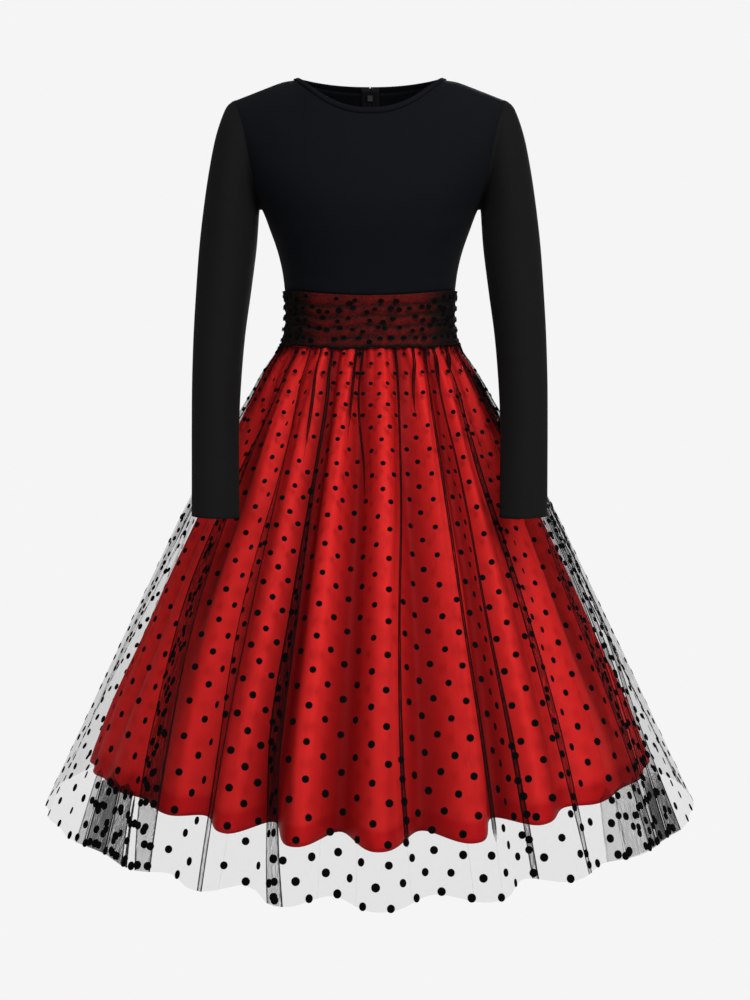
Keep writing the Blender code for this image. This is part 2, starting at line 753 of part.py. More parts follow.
def make_zip_strips(tape, coil):
    """Tapes inside the back panels' edges, and the chain of coils between them."""
    heights = zip_heights() + [neck_point(math.pi, 0.0).z - TAPE_TOP_DROP]

    def surface(x, z):
        return back_centre_point(-x, z)

    left = [TAPE_INNER_X + TAPE_WIDTH * share for share in (0.0, 0.5, 1.0)]
    right = [-x for x in reversed(left)]
    cloth("zip_tape_right", surface, right, heights, TAPE_WALL, tape, depth=TAPE_DEPTH)
    cloth("zip_tape_left", surface, left, heights, TAPE_WALL, tape, depth=TAPE_DEPTH)
    chain_top = SLIDER_Z - (SLIDER_LENGTH / 2 + LAYER_GAP) * slider_frame()[2].z
    chain_heights = [z for z in heights if z < chain_top - LAYER_GAP] + [chain_top]
    across = [-CHAIN_HALF_WIDTH, CHAIN_HALF_WIDTH]
    cloth("zip_chain", surface, across, chain_heights, CHAIN_WALL, coil, depth=TAPE_DEPTH)


def slider_frame():
    """Centre, outward direction and upward direction of the slider, on the closed zip's top end."""
    centre = back_centre_point(0.0, SLIDER_Z)
    above = back_centre_point(0.0, SLIDER_Z + NORMAL_STEP)
    below = back_centre_point(0.0, SLIDER_Z - NORMAL_STEP)
    up = (above - below).normalized()
    outward = up.cross(Vector((1, 0, 0))).normalized()
    if outward.y < 0:
        outward = -outward
    return centre, outward, up


def slider_matrix():
    """Local X runs along +X, local Y outward from the cloth and local Z up the zip."""
    centre, outward, up = slider_frame()
    turn = Matrix((Vector((1, 0, 0)), outward, up)).transposed().to_4x4()
    return Matrix.Translation(centre) @ turn


def block(name, low, high):
    """A box between two corners, in the slider's own frame."""
    bm = bmesh.new()
    bmesh.ops.create_cube(bm, size=1.0)
    low, high = Vector(low), Vector(high)
    for vertex in bm.verts:
        vertex.co = Vector(mix(low[i], high[i], vertex.co[i] + 0.5) for i in range(3))
    return guide_piece(name, bm)


def rod(name, radius, half_length, centre_y, sides):
    """A cylinder along X, in the slider's own frame."""
    bm = bmesh.new()
    turn = Matrix.Rotation(math.pi / 2, 4, "Y")
    bmesh.ops.create_cone(
        bm, cap_ends=True, segments=sides, radius1=radius, radius2=radius,
        depth=2 * half_length, matrix=Matrix.Translation((0, centre_y, 0)) @ turn,
    )
    return guide_piece(name, bm)


def guide_piece(name, bm):
    mesh = bpy.data.meshes.new(name)
    bm.to_mesh(mesh)
    bm.free()
    guide = bpy.data.objects.new(name, mesh)
    guide.hide_render = True
    guide.display_type = "WIRE"
    CUTTERS.objects.link(guide)
    return guide


def combine(piece, guide, operation):
    """Adds or cuts the guide, which shares the piece's own frame."""
    guide.matrix_world = piece.matrix_world
    modifier = piece.modifiers.new(guide.name, "BOOLEAN")
    modifier.operation = operation
    modifier.object = guide


def make_slider(metal):
    """Body behind the tapes, a neck through the seam, and outside a plate whose ears hold the pin."""
    half = SLIDER_LENGTH / 2
    plate_half = half * SLIDER_PLATE_SHARE
    neck_half = SLIDER_NECK_LENGTH / 2
    body = block(
        "slider_body",
        (-SLIDER_BODY_HALF_WIDTH, -SLIDER_BODY_DEPTH, -half),
        (SLIDER_BODY_HALF_WIDTH, -SLIDER_CORE_DEPTH + SLIDER_JOIN, half),
    )
    piece = place_piece("zip_slider", body.data.copy(), metal)
    piece.matrix_world = slider_matrix()
    joined = [
        block(
            "slider_core",
            (-CHAIN_HALF_WIDTH, -SLIDER_CORE_DEPTH, -half),
            (CHAIN_HALF_WIDTH, -TAPE_DEPTH, half),
        ),
        block(
            "slider_neck",
            (-SLIDER_NECK_HALF_WIDTH, -TAPE_DEPTH - SLIDER_JOIN, -neck_half),
            (SLIDER_NECK_HALF_WIDTH, SLIDER_PLATE_TOP - SLIDER_JOIN, neck_half),
        ),
        block(
            "slider_plate",
            (-SLIDER_HALF_WIDTH, LAYER_GAP + SLIDER_JOIN, -plate_half),
            (SLIDER_HALF_WIDTH, SLIDER_PLATE_TOP, plate_half),
        ),
        rod("slider_pin", PIN_RADIUS, SLIDER_HALF_WIDTH - EAR_WALL / 2, PIN_HEIGHT, PIN_SIDES),
    ]
    for side in (-1, 1):
        near, far = sorted((side * (SLIDER_HALF_WIDTH - EAR_WALL), side * SLIDER_HALF_WIDTH))
        joined.append(block(
            f"slider_ear_{side}",
            (near, SLIDER_PLATE_TOP - SLIDER_JOIN, -2 * PIN_RADIUS),
            (far, PIN_HEIGHT + 2 * PIN_RADIUS, 2 * PIN_RADIUS),
        ))
    for guide in joined:
        combine(piece, guide, "UNION")


def tab_outline_points():
    """A drop shape in the flat: round at the tip and narrow at the eye."""
    round_centre = TAB_LENGTH - TAB_HALF_WIDTH
    arc = [math.radians(a) for a in range(TAB_ARC_FIRST, TAB_ARC_LAST + 1, TAB_ARC_STEP)][1:-1]
    tip = [(TAB_HALF_WIDTH * math.cos(a), -round_centre - TAB_HALF_WIDTH * math.sin(a)) for a in arc]
    neck_end = EYE_HOLE_RADIUS + TAB_NECK_LAP
    return [(TAB_NECK_HALF_WIDTH, -neck_end)] + tip + [(-TAB_NECK_HALF_WIDTH, -neck_end)]


def make_pull_tab(metal):
    """A drop-shaped tab on an eye round the pin; its origin is on the hinge axis."""
    shape = bpy.data.curves.new("tab_outline", "CURVE")
    shape.dimensions = "2D"
    shape.fill_mode = "BOTH"
    shape.extrude = TAB_WALL / 2
    spline = shape.splines.new("POLY")
    points = tab_outline_points()
    spline.points.add(len(points) - 1)
    for target, (x, y) in zip(spline.points, points):
        target.co = (x, y, 0, 1)
    spline.use_cyclic_u = True
    outline = bpy.data.objects.new("tab_outline", shape)
    CUTTERS.objects.link(outline)
    bpy.context.view_layer.update()
    flat = bpy.data.meshes.new_from_object(outline.evaluated_get(bpy.context.evaluated_depsgraph_get()))
    bpy.data.objects.remove(outline)
    bm = bmesh.new()
    bm.from_mesh(flat)
    bmesh.ops.remove_doubles(bm, verts=bm.verts[:], dist=WELD_DISTANCE)
    bmesh.ops.rotate(bm, verts=bm.verts[:], matrix=Matrix.Rotation(math.pi / 2, 3, "X"))
    bm.to_mesh(flat)
    bm.free()
    piece = place_piece("zip_pull_tab", flat, metal)
    piece.matrix_world = slider_matrix() @ Matrix.Translation((0, PIN_HEIGHT, 0)) @ tab_lean()
    combine(piece, rod("tab_eye", EYE_RADIUS, EYE_HALF_WIDTH, 0.0, EYE_SIDES), "UNION")
    combine(piece, rod("tab_eye_hole", EYE_HOLE_RADIUS, 2 * EYE_HALF_WIDTH, 0.0, EYE_SIDES), "DIFFERENCE")


def tab_lean():
    """The turn about the pin that lays the tab's tip just clear of the cloth."""
    pivot = slider_matrix() @ Vector((0, PIN_HEIGHT, 0))
    local = slider_matrix().inverted()
    tip = back_centre_point(0.0, pivot.z - TAB_LENGTH * TAB_REST_SHARE)
    height = (local @ tip).y + TAB_REST_CLEARANCE + TAB_WALL / 2
    return Matrix.Rotation(math.atan2(PIN_HEIGHT - height, TAB_LENGTH), 4, "X")


def new_collection(name):
    collection = bpy.data.collections.new(name)
    bpy.context.scene.collection.children.link(collection)
    return collection


for existing in list(bpy.data.objects):
    bpy.data.objects.remove(existing)
PARTS = new_collection("a_line_dress")
CUTTERS = new_collection("cutters")

black_knit = cloth_material("black_knit", (0.012, 0.014, 0.017), 0.85)
red_satin = cloth_material("red_satin", (0.42, 0.015, 0.018), 0.35)
dotted_net = cloth_material("dotted_net", (0.02, 0.02, 0.02), 0.80)
ruched_net = cloth_material("ruched_net", (0.10, 0.010, 0.012), 0.80)
zip_tape = cloth_material("zip_tape", (0.015, 0.015, 0.016), 0.80)
zip_coil = cloth_material("zip_coil", (0.012, 0.012, 0.012), 0.45)
black_metal = cloth_material("black_metal", (0.02, 0.02, 0.02), 0.35, metallic=0.8)

make_bodice(black_knit)
make_sleeves(black_knit)
make_neck_binding(black_knit)
make_waistband(red_satin, ruched_net)
make_skirts(red_satin, dotted_net)
make_zip_strips(zip_tape, zip_coil)
make_slider(black_metal)
make_pull_tab(black_metal)
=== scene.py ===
"""A-line dress: black knit bodice, ruched dotted waistband, red satin skirt under dotted black net.

Metres, +Z up, the front is -Y and right is +X, as seen from the front. The cloth is laid on the
solids' own form: a surface function gives the outer face from a place across and a place along,
and places across run rightwards as the outside is seen, places along run downwards.
"""

import json
import random
from collections import namedtuple
from math import asin, copysign, cos, degrees, exp, hypot, pi, radians, sin, sqrt

import bpy
import numpy as np
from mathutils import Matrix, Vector

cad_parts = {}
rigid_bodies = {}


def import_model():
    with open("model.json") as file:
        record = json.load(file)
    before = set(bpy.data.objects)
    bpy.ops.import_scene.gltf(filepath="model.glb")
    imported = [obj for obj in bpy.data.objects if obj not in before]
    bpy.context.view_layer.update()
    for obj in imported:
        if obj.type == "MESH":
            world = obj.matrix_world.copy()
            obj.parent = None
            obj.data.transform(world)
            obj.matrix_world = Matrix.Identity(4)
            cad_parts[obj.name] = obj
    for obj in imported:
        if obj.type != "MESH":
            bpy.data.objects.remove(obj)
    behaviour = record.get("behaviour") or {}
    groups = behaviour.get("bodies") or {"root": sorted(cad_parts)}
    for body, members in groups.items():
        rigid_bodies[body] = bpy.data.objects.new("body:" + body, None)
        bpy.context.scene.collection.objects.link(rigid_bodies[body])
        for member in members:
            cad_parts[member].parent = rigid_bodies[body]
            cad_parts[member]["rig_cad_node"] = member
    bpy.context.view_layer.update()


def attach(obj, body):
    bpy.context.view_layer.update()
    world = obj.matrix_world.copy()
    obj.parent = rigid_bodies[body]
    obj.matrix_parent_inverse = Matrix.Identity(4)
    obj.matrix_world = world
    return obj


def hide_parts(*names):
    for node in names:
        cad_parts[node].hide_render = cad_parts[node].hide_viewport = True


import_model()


def table(columns, *rows):
    """Rows with named columns."""
    named = namedtuple("Row", columns)
    return [named(*row) for row in rows]


# The signs that mirror the right side's shape, and that point a depth out of the front or the back.
SIDES = (("right", 1.0), ("left", -1.0))
OUTWARD = {"front": -1.0, "back": 1.0}

# ---- Walls and seams ----
KNIT_WALL = 0.0012
SATIN_WALL = 0.0008
TAPE_WALL = 0.0008
KNIT_SOLID = 0.0016
NET_SOLID = 0.0012
SEAM_GAP = 0.0002
LAYER_GAP = 0.0003
SEAM_WELT = 0.0006
SEAM_STEPS = 20
NORMAL_STEP = 1e-4
JUST_INSIDE = 1e-6

# ---- Neck and shoulders ----
HIGH_SHOULDER_Z = KNIT_SOLID
NECK_HALF_WIDTH = 0.097
NECK_DROP = {"front": 0.056, "back": 0.005}
NECK_ROUNDNESS = 2.3
BINDING_WIDTH = 0.005
BINDING_STEPS = 150
BINDING_DEPTH = 0.0022
BINDING_FLATTENED = 0.75
BINDING_FLAT_POWER = 16
# The binding's cross-section: up towards the finished edge, and out from the neck's surface.
BINDING_CORNERS = table(
    "up out",
    (-1.0, 0.7), (-0.85, 0.98), (-0.3, 1.12), (0.4, 1.1), (0.82, 0.85),
    (1.0, 0.4), (1.0, -0.4), (0.8, -0.8), (-0.2, -0.9), (-1.0, -0.7),
)
SHOULDER_TIP_X = 0.18
SHOULDER_SLOPE = 0.39
NECK_CROWN = 0.02
SHOULDER_ROUND = 0.08
NECK_SETTLE = 0.0042
NECK_SETTLE_POWER = 12
NECK_SETTLE_WIDTH = 0.014

# ---- Armholes and sleeves ----
UNDERARM_Z = -0.176
ARMHOLE_REACH = {"front": 0.052, "back": 0.056}
ARMHOLE_PIN = 6.0
ARMHOLE_STEPS = 72
BODICE_STEPS = 64
NECK_STEPS = 20
SHOULDER_STEPS = 12
SLEEVE_LEAD = 0.004
SLEEVE_BLEND_RINGS = 3.5
SLEEVE_SIDES = 56
SLEEVE_RINGS_PER_ROW = 8

# ---- Waist ----
WAIST_TOP_Z = -0.285
WAIST_BOTTOM_Z = -0.359
WAIST_TOP_DIP = {"front": 0.01, "back": 0.004}
WAIST_BOTTOM_DIP = {"front": 0.004, "back": 0.002}
BODY_SQUARENESS = 2.4
RUCHE_FOLDS = 5
RUCHE_HEIGHT = 0.0034
RUCHE_EDGE = 0.0022
RUCHE_EDGE_POWER = 4
RUCHE_SHARPNESS = 1.5
CRUMPLE_RATE = 2.3
CRUMPLE_SHARE = 0.2
BAND_STEPS = 12
BAND_STEP_DEGREES = 3.0
RUCHE_TOP = -0.015
RUCHE_STEPS = 60
RUCHE_STEP_DEGREES = 1.0
RUCHE_DENSITY = 0.71
RUCHE_FOLD_DENSITY = 0.18
RUCHE_SIDE_DENSITY = 0.26
PIPING_HALF_WIDTH = 0.117
PIPING_STEPS = 520
PIPING_RADIUS = 0.0019
PIPING_STAND = 0.7
PIPING_RISE = 0.8
PIPING_SWING = 0.0012
PIPING_FRILL = 0.0007
PIPING_FRILL_TURNS = 57
CORD_DENSITY = 1.3

# ---- Sizes of the skirts ----
UNDER_HEM_Z = -0.908
UNDER_FOLD_DIP = 0.004
OVER_HEM_Z = -0.963
OVER_FOLD_DIP = 0.003
HEM_DIP = {"front": 0.026, "back": 0.02}
HEM_DIP_POWER = 4
HEM_SQUARENESS = 2.0
SQUARENESS_FADE = 4
HEM_DEPTH = 0.026
HEM_STEP = 0.0006
HEM_STEP_FADE = 0.003
HEM_TONE_FADE = 0.004
UNDER_STEPS = 90
UNDER_STEP_DEGREES = 0.75
OVER_STEPS = 84
OVER_STEP_DEGREES = 1.1

# ---- Sizes of the zip ----
ZIP_HALF_GAP = 0.0007
TAPE_WIDTH = 0.0125
TAPE_DEPTH = 0.0022
TAPE_SHARES = (0.0, 0.33, 0.67, 1.0)
TAPE_STEPS = 90
ZIP_TOP_Z = -0.0045
ZIP_BOTTOM_Z = -0.48
ZIP_CLOSING = 0.02
CHAIN_TOP_Z = -0.0185
COIL_PITCH = 0.0012
COIL_RADIUS = 0.00022
COIL_SQUASH = 1.6
COIL_HALF_WIDTH = 0.0019
NEAR_CENTRE = 1e-5
ZIP_FLAT_Z = -0.505
ZIP_FLAT_FADE = 0.04
ZIP_FLAT_HALF_WIDTH = 0.014

BODY = table(
    "z half_width front back",
    (0.022, 0.19, 0.072, 0.076), (-0.031, 0.19, 0.085, 0.084), (-0.06, 0.189, 0.093, 0.091),
    (-0.105, 0.178, 0.106, 0.097), (-0.15, 0.16, 0.114, 0.097), (-0.176, 0.1444, 0.115, 0.094),
    (-0.204, 0.1335, 0.111, 0.09), (-0.231, 0.124, 0.104, 0.086), (-0.258, 0.1175, 0.097, 0.083),
    (-0.285, 0.114, 0.092, 0.081), (-0.305, 0.1122, 0.09, 0.08), (-0.33, 0.1122, 0.09, 0.08),
    (-0.362, 0.1175, 0.094, 0.084),
)

ARMHOLE = table(
    "z x",
    (-0.031, 0.18), (-0.07, 0.1667), (-0.109, 0.1588), (-0.145, 0.152), (-0.176, 0.1444),
)

# Each ring of the sleeve runs through an outer and an inner point, and reaches forward and back.
SLEEVE = table(
    "outer_x outer_z inner_x inner_z centre_y reach",
    (0.184, -0.0325, 0.1484, -0.176, 0.0, 0.053),
    (0.1935, -0.043, 0.1486, -0.178, 0.0, 0.057),
    (0.205, -0.076, 0.1488, -0.1815, -0.002, 0.06),
    (0.2135, -0.118, 0.149, -0.188, -0.005, 0.061),
    (0.2205, -0.168, 0.1492, -0.199, -0.012, 0.06),
    (0.226, -0.225, 0.151, -0.233, -0.025, 0.056),
    (0.2285, -0.285, 0.1565, -0.288, -0.046, 0.051),
    (0.2295, -0.345, 0.1625, -0.346, -0.072, 0.047),
    (0.2285, -0.405, 0.1655, -0.406, -0.102, 0.044),
    (0.2255, -0.46, 0.1655, -0.461, -0.137, 0.04),
    (0.2215, -0.515, 0.1625, -0.517, -0.177, 0.036),
    (0.217, -0.57, 0.1585, -0.572, -0.222, 0.032),
)

UNDER = table(
    "z half_width front back fold",
    (-0.3625, 0.1175, 0.094, 0.084, 0.0012), (-0.39, 0.1345, 0.115, 0.104, 0.003),
    (-0.43, 0.152, 0.141, 0.128, 0.0055), (-0.5, 0.18, 0.186, 0.169, 0.009),
    (-0.58, 0.213, 0.233, 0.213, 0.013), (-0.66, 0.249, 0.274, 0.252, 0.0165),
    (-0.75, 0.286, 0.311, 0.287, 0.0205), (-0.84, 0.325, 0.34, 0.315, 0.024),
    (-0.935, 0.356, 0.362, 0.337, 0.028),
)
OVER = table(
    "z half_width front back fold",
    (-0.3625, 0.1211, 0.0976, 0.0876, 0.0013), (-0.393, 0.1405, 0.124, 0.112, 0.0028),
    (-0.43, 0.16, 0.152, 0.138, 0.004), (-0.5, 0.1995, 0.203, 0.185, 0.0062),
    (-0.58, 0.241, 0.254, 0.233, 0.0085), (-0.66, 0.278, 0.299, 0.276, 0.0105),
    (-0.75, 0.319, 0.343, 0.318, 0.013), (-0.84, 0.359, 0.378, 0.352, 0.015),
    (-0.92, 0.395, 0.402, 0.376, 0.017), (-0.99, 0.428, 0.42, 0.392, 0.0185),
)

# One row for each fold that falls from the waist: where its ridge stands, how far it reaches, and
# how deep the trough after it is.
FOLDS = table(
    "degrees reach trough",
    (-168, 0.95, 1.0), (-154, 1.05, 0.8), (-141, 0.9, 1.1), (-126, 1.0, 0.9), (-112, 0.92, 0.8),
    (-98, 0.85, 0.6), (-82, 1.05, 0.45), (-71, 1.0, 0.6), (-58, 1.05, 0.8), (-40, 0.95, 0.6),
    (-26.5, 0.95, 1.35), (-13.2, 1.0, 1.2), (1.6, 1.1, 1.1), (18.8, 1.1, 1.25), (33, 0.95, 0.85),
    (48.8, 1.1, 0.4), (66, 1.0, 0.5), (82, 0.85, 0.45), (98, 0.85, 0.7), (111, 0.95, 1.0),
    (127, 1.05, 0.8), (140, 0.9, 1.1), (155, 1.05, 0.85), (168, 0.95, 0.9),
)
# The same folds with a neighbour more at each end, so that they go all the way round.
FOLD_ROUND = [
    FOLDS[-1]._replace(degrees=FOLDS[-1].degrees - 360), *FOLDS,
    FOLDS[0]._replace(degrees=FOLDS[0].degrees + 360),
]
FOLD_SHARPNESS = 1.25

# The panels of the band and the skirts: the degrees that each spans, the width of its band, and the
# flat width, length and area of what shows of its underskirt and overskirt.
PANELS = table(
    "name start end band_width under_cut over_cut",
    ("front", -90.0, 90.0, 0.34, (1.24, 0.6, 0.66), (1.5, 0.67, 0.85)),
    ("back_right", 90.0, 180.0, 0.165, (0.6, 0.58, 0.31), (0.74, 0.65, 0.41)),
    ("back_left", -180.0, -90.0, 0.165, (0.6, 0.58, 0.31), (0.74, 0.65, 0.41)),
)

RUCHE_WAVES = table(
    "turns phase swing",
    (3, 0.4, 0.9), (7, 1.9, 0.6), (13, 0.8, 0.35),
)

# ---- How the folds fall ----

# The folds stand wider apart at the waist than at the hem.
FOLD_SPREAD = radians(12.6)
FOLD_SHIFT = radians(3.5)
SPLIT_FOLD_REACH = 0.0036
SPLIT_FOLD_PEAK = 0.12
SPLIT_FOLD_FADE = 0.2
SPLIT_FOLD_PHASE = 0.9
SPLIT_FOLD_TURN = 2.4
SPLIT_FOLD_RISE = 20
# The folds deepen below the waist, and lie calmer at the hem, most of all at the sides.
FOLD_DEEPEN = 0.55
FOLD_DEEPEST = 0.2
FOLD_DEEPEN_FADE = 0.22
HEM_CALM = 0.22
SIDE_CALM = 0.66
SIDE_LEVEL = 0.85
# Painted shade in the satin's colour: the trough depth that takes it fully, and how narrowly it keeps to
# the trough's middle.
FULLY_SHADED_TROUGH = 1.3
TROUGH_SHADE_POWER = 3
# Where each of these starts towards the side, as the sine of its place, and over how far it rises.
FOLD_SIDES = (0.35, 0.5)
RUCHE_SIDES = (0.55, 0.4)
GATHERED_SIDES = (0.75, 0.2)
EDGE_SIDES = (0.95, 0.03)

# Fine gathers along the waist seam: waves round the waist that die away downwards.
GATHERS = table(
    "turns phase reach",
    (61, 0.3, 0.001), (88, 1.7, 0.0006), (37, 2.6, 0.0009),
)
GATHER_FADE = 0.08
# Painted shade in the satin's colour: its strength in the gathers and how fast it fades below the waist
# seam, and how much the painted trough shade eases towards the sides lower down.
GATHER_SHADE = 0.5
GATHER_SHADE_FADE = 0.045
SIDE_SHADE_EASE = 0.8

# Tight folds of the net, each a flattened pleat of three layers: the degrees that its left and right
# edges stand at, at six places down the skirt, how dense its layers and its edges look, and the
# stretch of the skirt that it runs through.
Pleat = namedtuple("Pleat", "left right layer edge start end", defaults=(0.0, 1.0))
PLEAT_PLACES = [0.0, 0.1, 0.25, 0.5, 0.75, 1.0]
PLAIN_PLEAT_EDGE = 0.85


def plain_pleat(top, upper, hem, waist_degrees, hem_degrees, layer=0.3, start=0.0, end=1.0):
    """A pleat of the back, straight from a quarter of the way down to the hem."""
    middles = [
        top, top * 0.6 + upper * 0.4, upper,
        upper * 0.67 + hem * 0.33, upper * 0.33 + hem * 0.67, hem,
    ]
    halves = [(waist_degrees + (hem_degrees - waist_degrees) * place) / 2 for place in PLEAT_PLACES]
    left = [middle - half for middle, half in zip(middles, halves)]
    right = [middle + half for middle, half in zip(middles, halves)]
    return Pleat(left, right, layer, PLAIN_PLEAT_EDGE, start, end)


FRONT_PLEATS = [Pleat(*row) for row in [
    ([-84, -84, -84, -83, -79, -77], [-83, -83, -82.5, -81, -77, -75.5], 0.26, 0.9, 0.0, 0.48),
    ([-60.2, -58.2, -60.2, -60.2, -59.4, -55.5],
     [-59.8, -57.8, -59.8, -59.8, -57.7, -52.9], 0.24, 0.8, 0.86),
    ([-57.7, -56.2, -58.7, -58.7, -57.5, -52.8],
     [-57.3, -55.8, -58.3, -58.3, -53.3, -47.1], 0.64, 1.0, 0.865),
    ([-55.2, -54.2, -57.2, -57.2, -53.1, -47],
     [-54.8, -53.8, -56.8, -56.8, -49.2, -41.4], 0.54, 1.0, 0.87),
    ([-52.7, -52.2, -55.7, -55.7, -48.6, -41],
     [-52.3, -51.8, -55.3, -55.3, -48, -40.2], 0.6, 1.0, 0.875),
    ([-49.6, -50, -53.5, -54, -47, -38.6], [-48, -47.5, -45.5, -44.5, -40, -36.1], 0.41, 1.0),
    ([-39.5, -36, -31, -32, -28.4, -26.2], [-38.6, -35, -29.5, -28, -27, -25.4], 0.18, 1.0),
    ([-31, -27.4, -24.4, -24.2, -24, -23.5],
     [-30.2, -26.4, -23.8, -24, -23.8, -23.3], 0.6, 0.9, 0.0, 0.24),
    ([-24.2, -21.4, -20.6, -20.4, -20.2, -15], [-22.4, -20, -19.2, -17, -16.3, -12.4], 0.52, 1.0),
    ([-8.3, -8.7, -8.8, -8.6, -8.4, -8], [-7.6, -7.9, -8.4, -8.4, -8.2, -7.8], 0.6, 0.9, 0.0, 0.2),
    ([-4.4, -5.8, -2.2, -2, -2, -2], [-3.6, -4.9, -1.5, -1.8, -1.8, -1.8], 0.6, 0.9, 0.0, 0.32),
    ([15.4, 13.3, 10.3, 6.6, 5.4, 6], [16.2, 14.1, 10.9, 7.2, 6.2, 6.8], 0.62, 0.92, 0.0, 0.9),
    ([26.6, 20.6, 19.5, 17, 16, 15.5], [27.4, 21.4, 19.8, 17.2, 16.2, 15.7], 0.6, 0.9, 0.0, 0.17),
    ([35.8, 28, 23.6, 21.3, 20.4, 19.4], [36.6, 28.8, 24.2, 21.9, 21.1, 20.1], 0.62, 0.92, 0.0, 0.9),
    ([42.2, 36.6, 33.7, 29.9, 28.6, 27], [43, 37.4, 34.3, 30.6, 29.4, 27.8], 0.62, 0.95),
    ([55.6, 44, 38.7, 37.6, 36.7, 35.7], [57.4, 46, 40, 39.4, 39, 36.4], 0.42, 1.0),
    ([59.4, 48.8, 45.8, 45.8, 46.8, 41.1], [59.8, 49.2, 46.2, 46.2, 49.2, 44.4], 0.16, 0.45, 0.875),
    ([61.8, 51.8, 49.8, 50.8, 49.6, 44.7], [62.2, 52.2, 50.2, 51.2, 53.6, 50.6], 0.28, 0.6, 0.87),
    ([64.1, 54.8, 53.8, 54.8, 54, 50.9], [64.5, 55.2, 54.2, 55.2, 57, 53.6], 0.6, 1.0, 0.87),
    ([66.6, 64, 62.4, 56.6, 57.3, 53.8], [69, 68.4, 69.8, 67.6, 61.6, 54], 0.39, 0.95),
    ([77, 73, 71, 68.2, 62.8, 54.2], [79.5, 75.5, 73.5, 70.2, 64.8, 57.9], 0.7, 1.0, 0.05),
    ([80.5, 78, 76.5, 73.5, 65.6, 58.4], [83, 81, 80, 77, 67.2, 63.4], 0.62, 1.0, 0.05),
]]
BACK_RIGHT_PLEATS = [
    plain_pleat(98, 97, 97, 1.2, 2.6, start=0.05),
    plain_pleat(114, 118, 122, 1.2, 1.6),
    plain_pleat(127, 131, 136, 1.8, 3.2, layer=0.34),
    plain_pleat(141, 145, 147, 1.2, 1.0, end=0.62),
    plain_pleat(155, 158, 161, 1.4, 1.2),
    plain_pleat(166, 169.5, 173, 1.2, 1.8),
]
BACK_LEFT_PLEATS = [
    plain_pleat(-169, -170.5, -174, 1.2, 1.2),
    plain_pleat(-159, -161, -165, 1.4, 2.8, layer=0.34),
    plain_pleat(-143, -147, -151, 1.6, 1.4),
    plain_pleat(-131, -134, -139, 1.2, 1.0, end=0.7),
    plain_pleat(-118, -122, -126, 1.4, 3.4, layer=0.34),
    plain_pleat(-108, -111, -114, 1.2, 2.0, start=0.05),
]
PLEATS = {"front": FRONT_PLEATS, "back_right": BACK_RIGHT_PLEATS, "back_left": BACK_LEFT_PLEATS}
PLEAT_FADE = 0.03
LATE_PLEAT = 0.5
LATE_FADE = 0.012
# Below the satin's hem a long pleat hangs looser and looks lighter.
HEM_SHOWS = 0.87
HEM_LIGHTEN = 0.45
SIDE_LIGHTEN = 0.5
PLEAT_LIFT = 0.0009
PLEAT_CLOSED = 0.0002
PLEAT_NARROWEST = 0.003
PLEAT_EDGE = 0.003
EDGE_ROOM = 0.9
LEAST_LIFT = 0.1
NET_DENSITY = 0.17
GATHERED_DENSITY = 0.1
GATHERED_FADE = 0.02
SIDE_DENSITY = 0.55
SIDE_FADE = 0.08
RIGHT_EDGE_DENSITY = 0.14
LEFT_EDGE_DENSITY = 0.05
EDGE_START = 0.28
EDGE_FADE_IN = 0.08
EDGE_FADE_OUT = 0.15

# The section of a pleat: its place across in half widths and in metres beyond, its lift in pleat
# lifts, and how much it shows as an edge.
PLEAT_STEPS = table(
    "share beyond lift edge",
    (-1.0, -0.0008, 0.0, 0.0), (-1.0, -0.0002, 0.6, 0.0), (0.0, 0.0, 1.0, 0.0),
    (1.0, -PLEAT_EDGE, 1.0, 0.0), (1.0, 0.0, 0.8, 1.0), (1.0, 0.0, 0.2, 1.0),
    (1.0, -PLEAT_EDGE, 0.0, 0.0), (-1.0, PLEAT_EDGE, 0.0, 0.0), (-1.0, 0.0, -0.2, 1.0),
    (-1.0, 0.0, -0.8, 1.0), (-1.0, PLEAT_EDGE, -1.0, 0.0), (1.0, 0.0, -0.6, 0.0),
    (1.0, 0.0008, 0.0, 0.0),
)

# ---- How the dots lie ----
DOT_SIDES = 16
DOT_THICKNESS = 0.0005
# A dot's radius and its distance from the next across and down, at the waist and at the hem.
DOT_RADIUS = (0.0027, 0.0049)
DOT_COLUMN = (0.0112, 0.0196)
DOT_ROW = (0.012, 0.0222)
DOT_SIDE_SPREAD = 0.45
DOT_JITTER = 0.0007
PLEAT_DOT_SPACING = 0.005
PLEAT_DOTS_FULL = 0.4
PLEAT_DOT_REACH = 0.8
STANDING_STRENGTH = 0.3
LOWEST_PLEAT_DOT = 0.99
LOWEST_DOT = 0.995
DOT_FIRST_ROW = 0.6
DOT_CLEARANCE = 0.6
DOT_SIZES = (0.94, 1.06)
DOT_STEP = 0.004
RADIUS_STEP = 0.01
DOT_STAND = 0.6
BAND_DOT_ROWS = [0.11, 0.3, 0.47, 0.66, 0.86]
BAND_DOT_COLUMNS = 46
BAND_DOT_RADIUS = 0.004
BAND_DOT_SIZES = (0.8, 1.15)
BAND_DOT_SQUASH = 0.8
BAND_DOT_DRIFT = 0.3
BAND_DOT_RISE = 0.05
BAND_DOT_HIDDEN = 0.12
BAND_DOT_SEAM_ROOM = 0.05

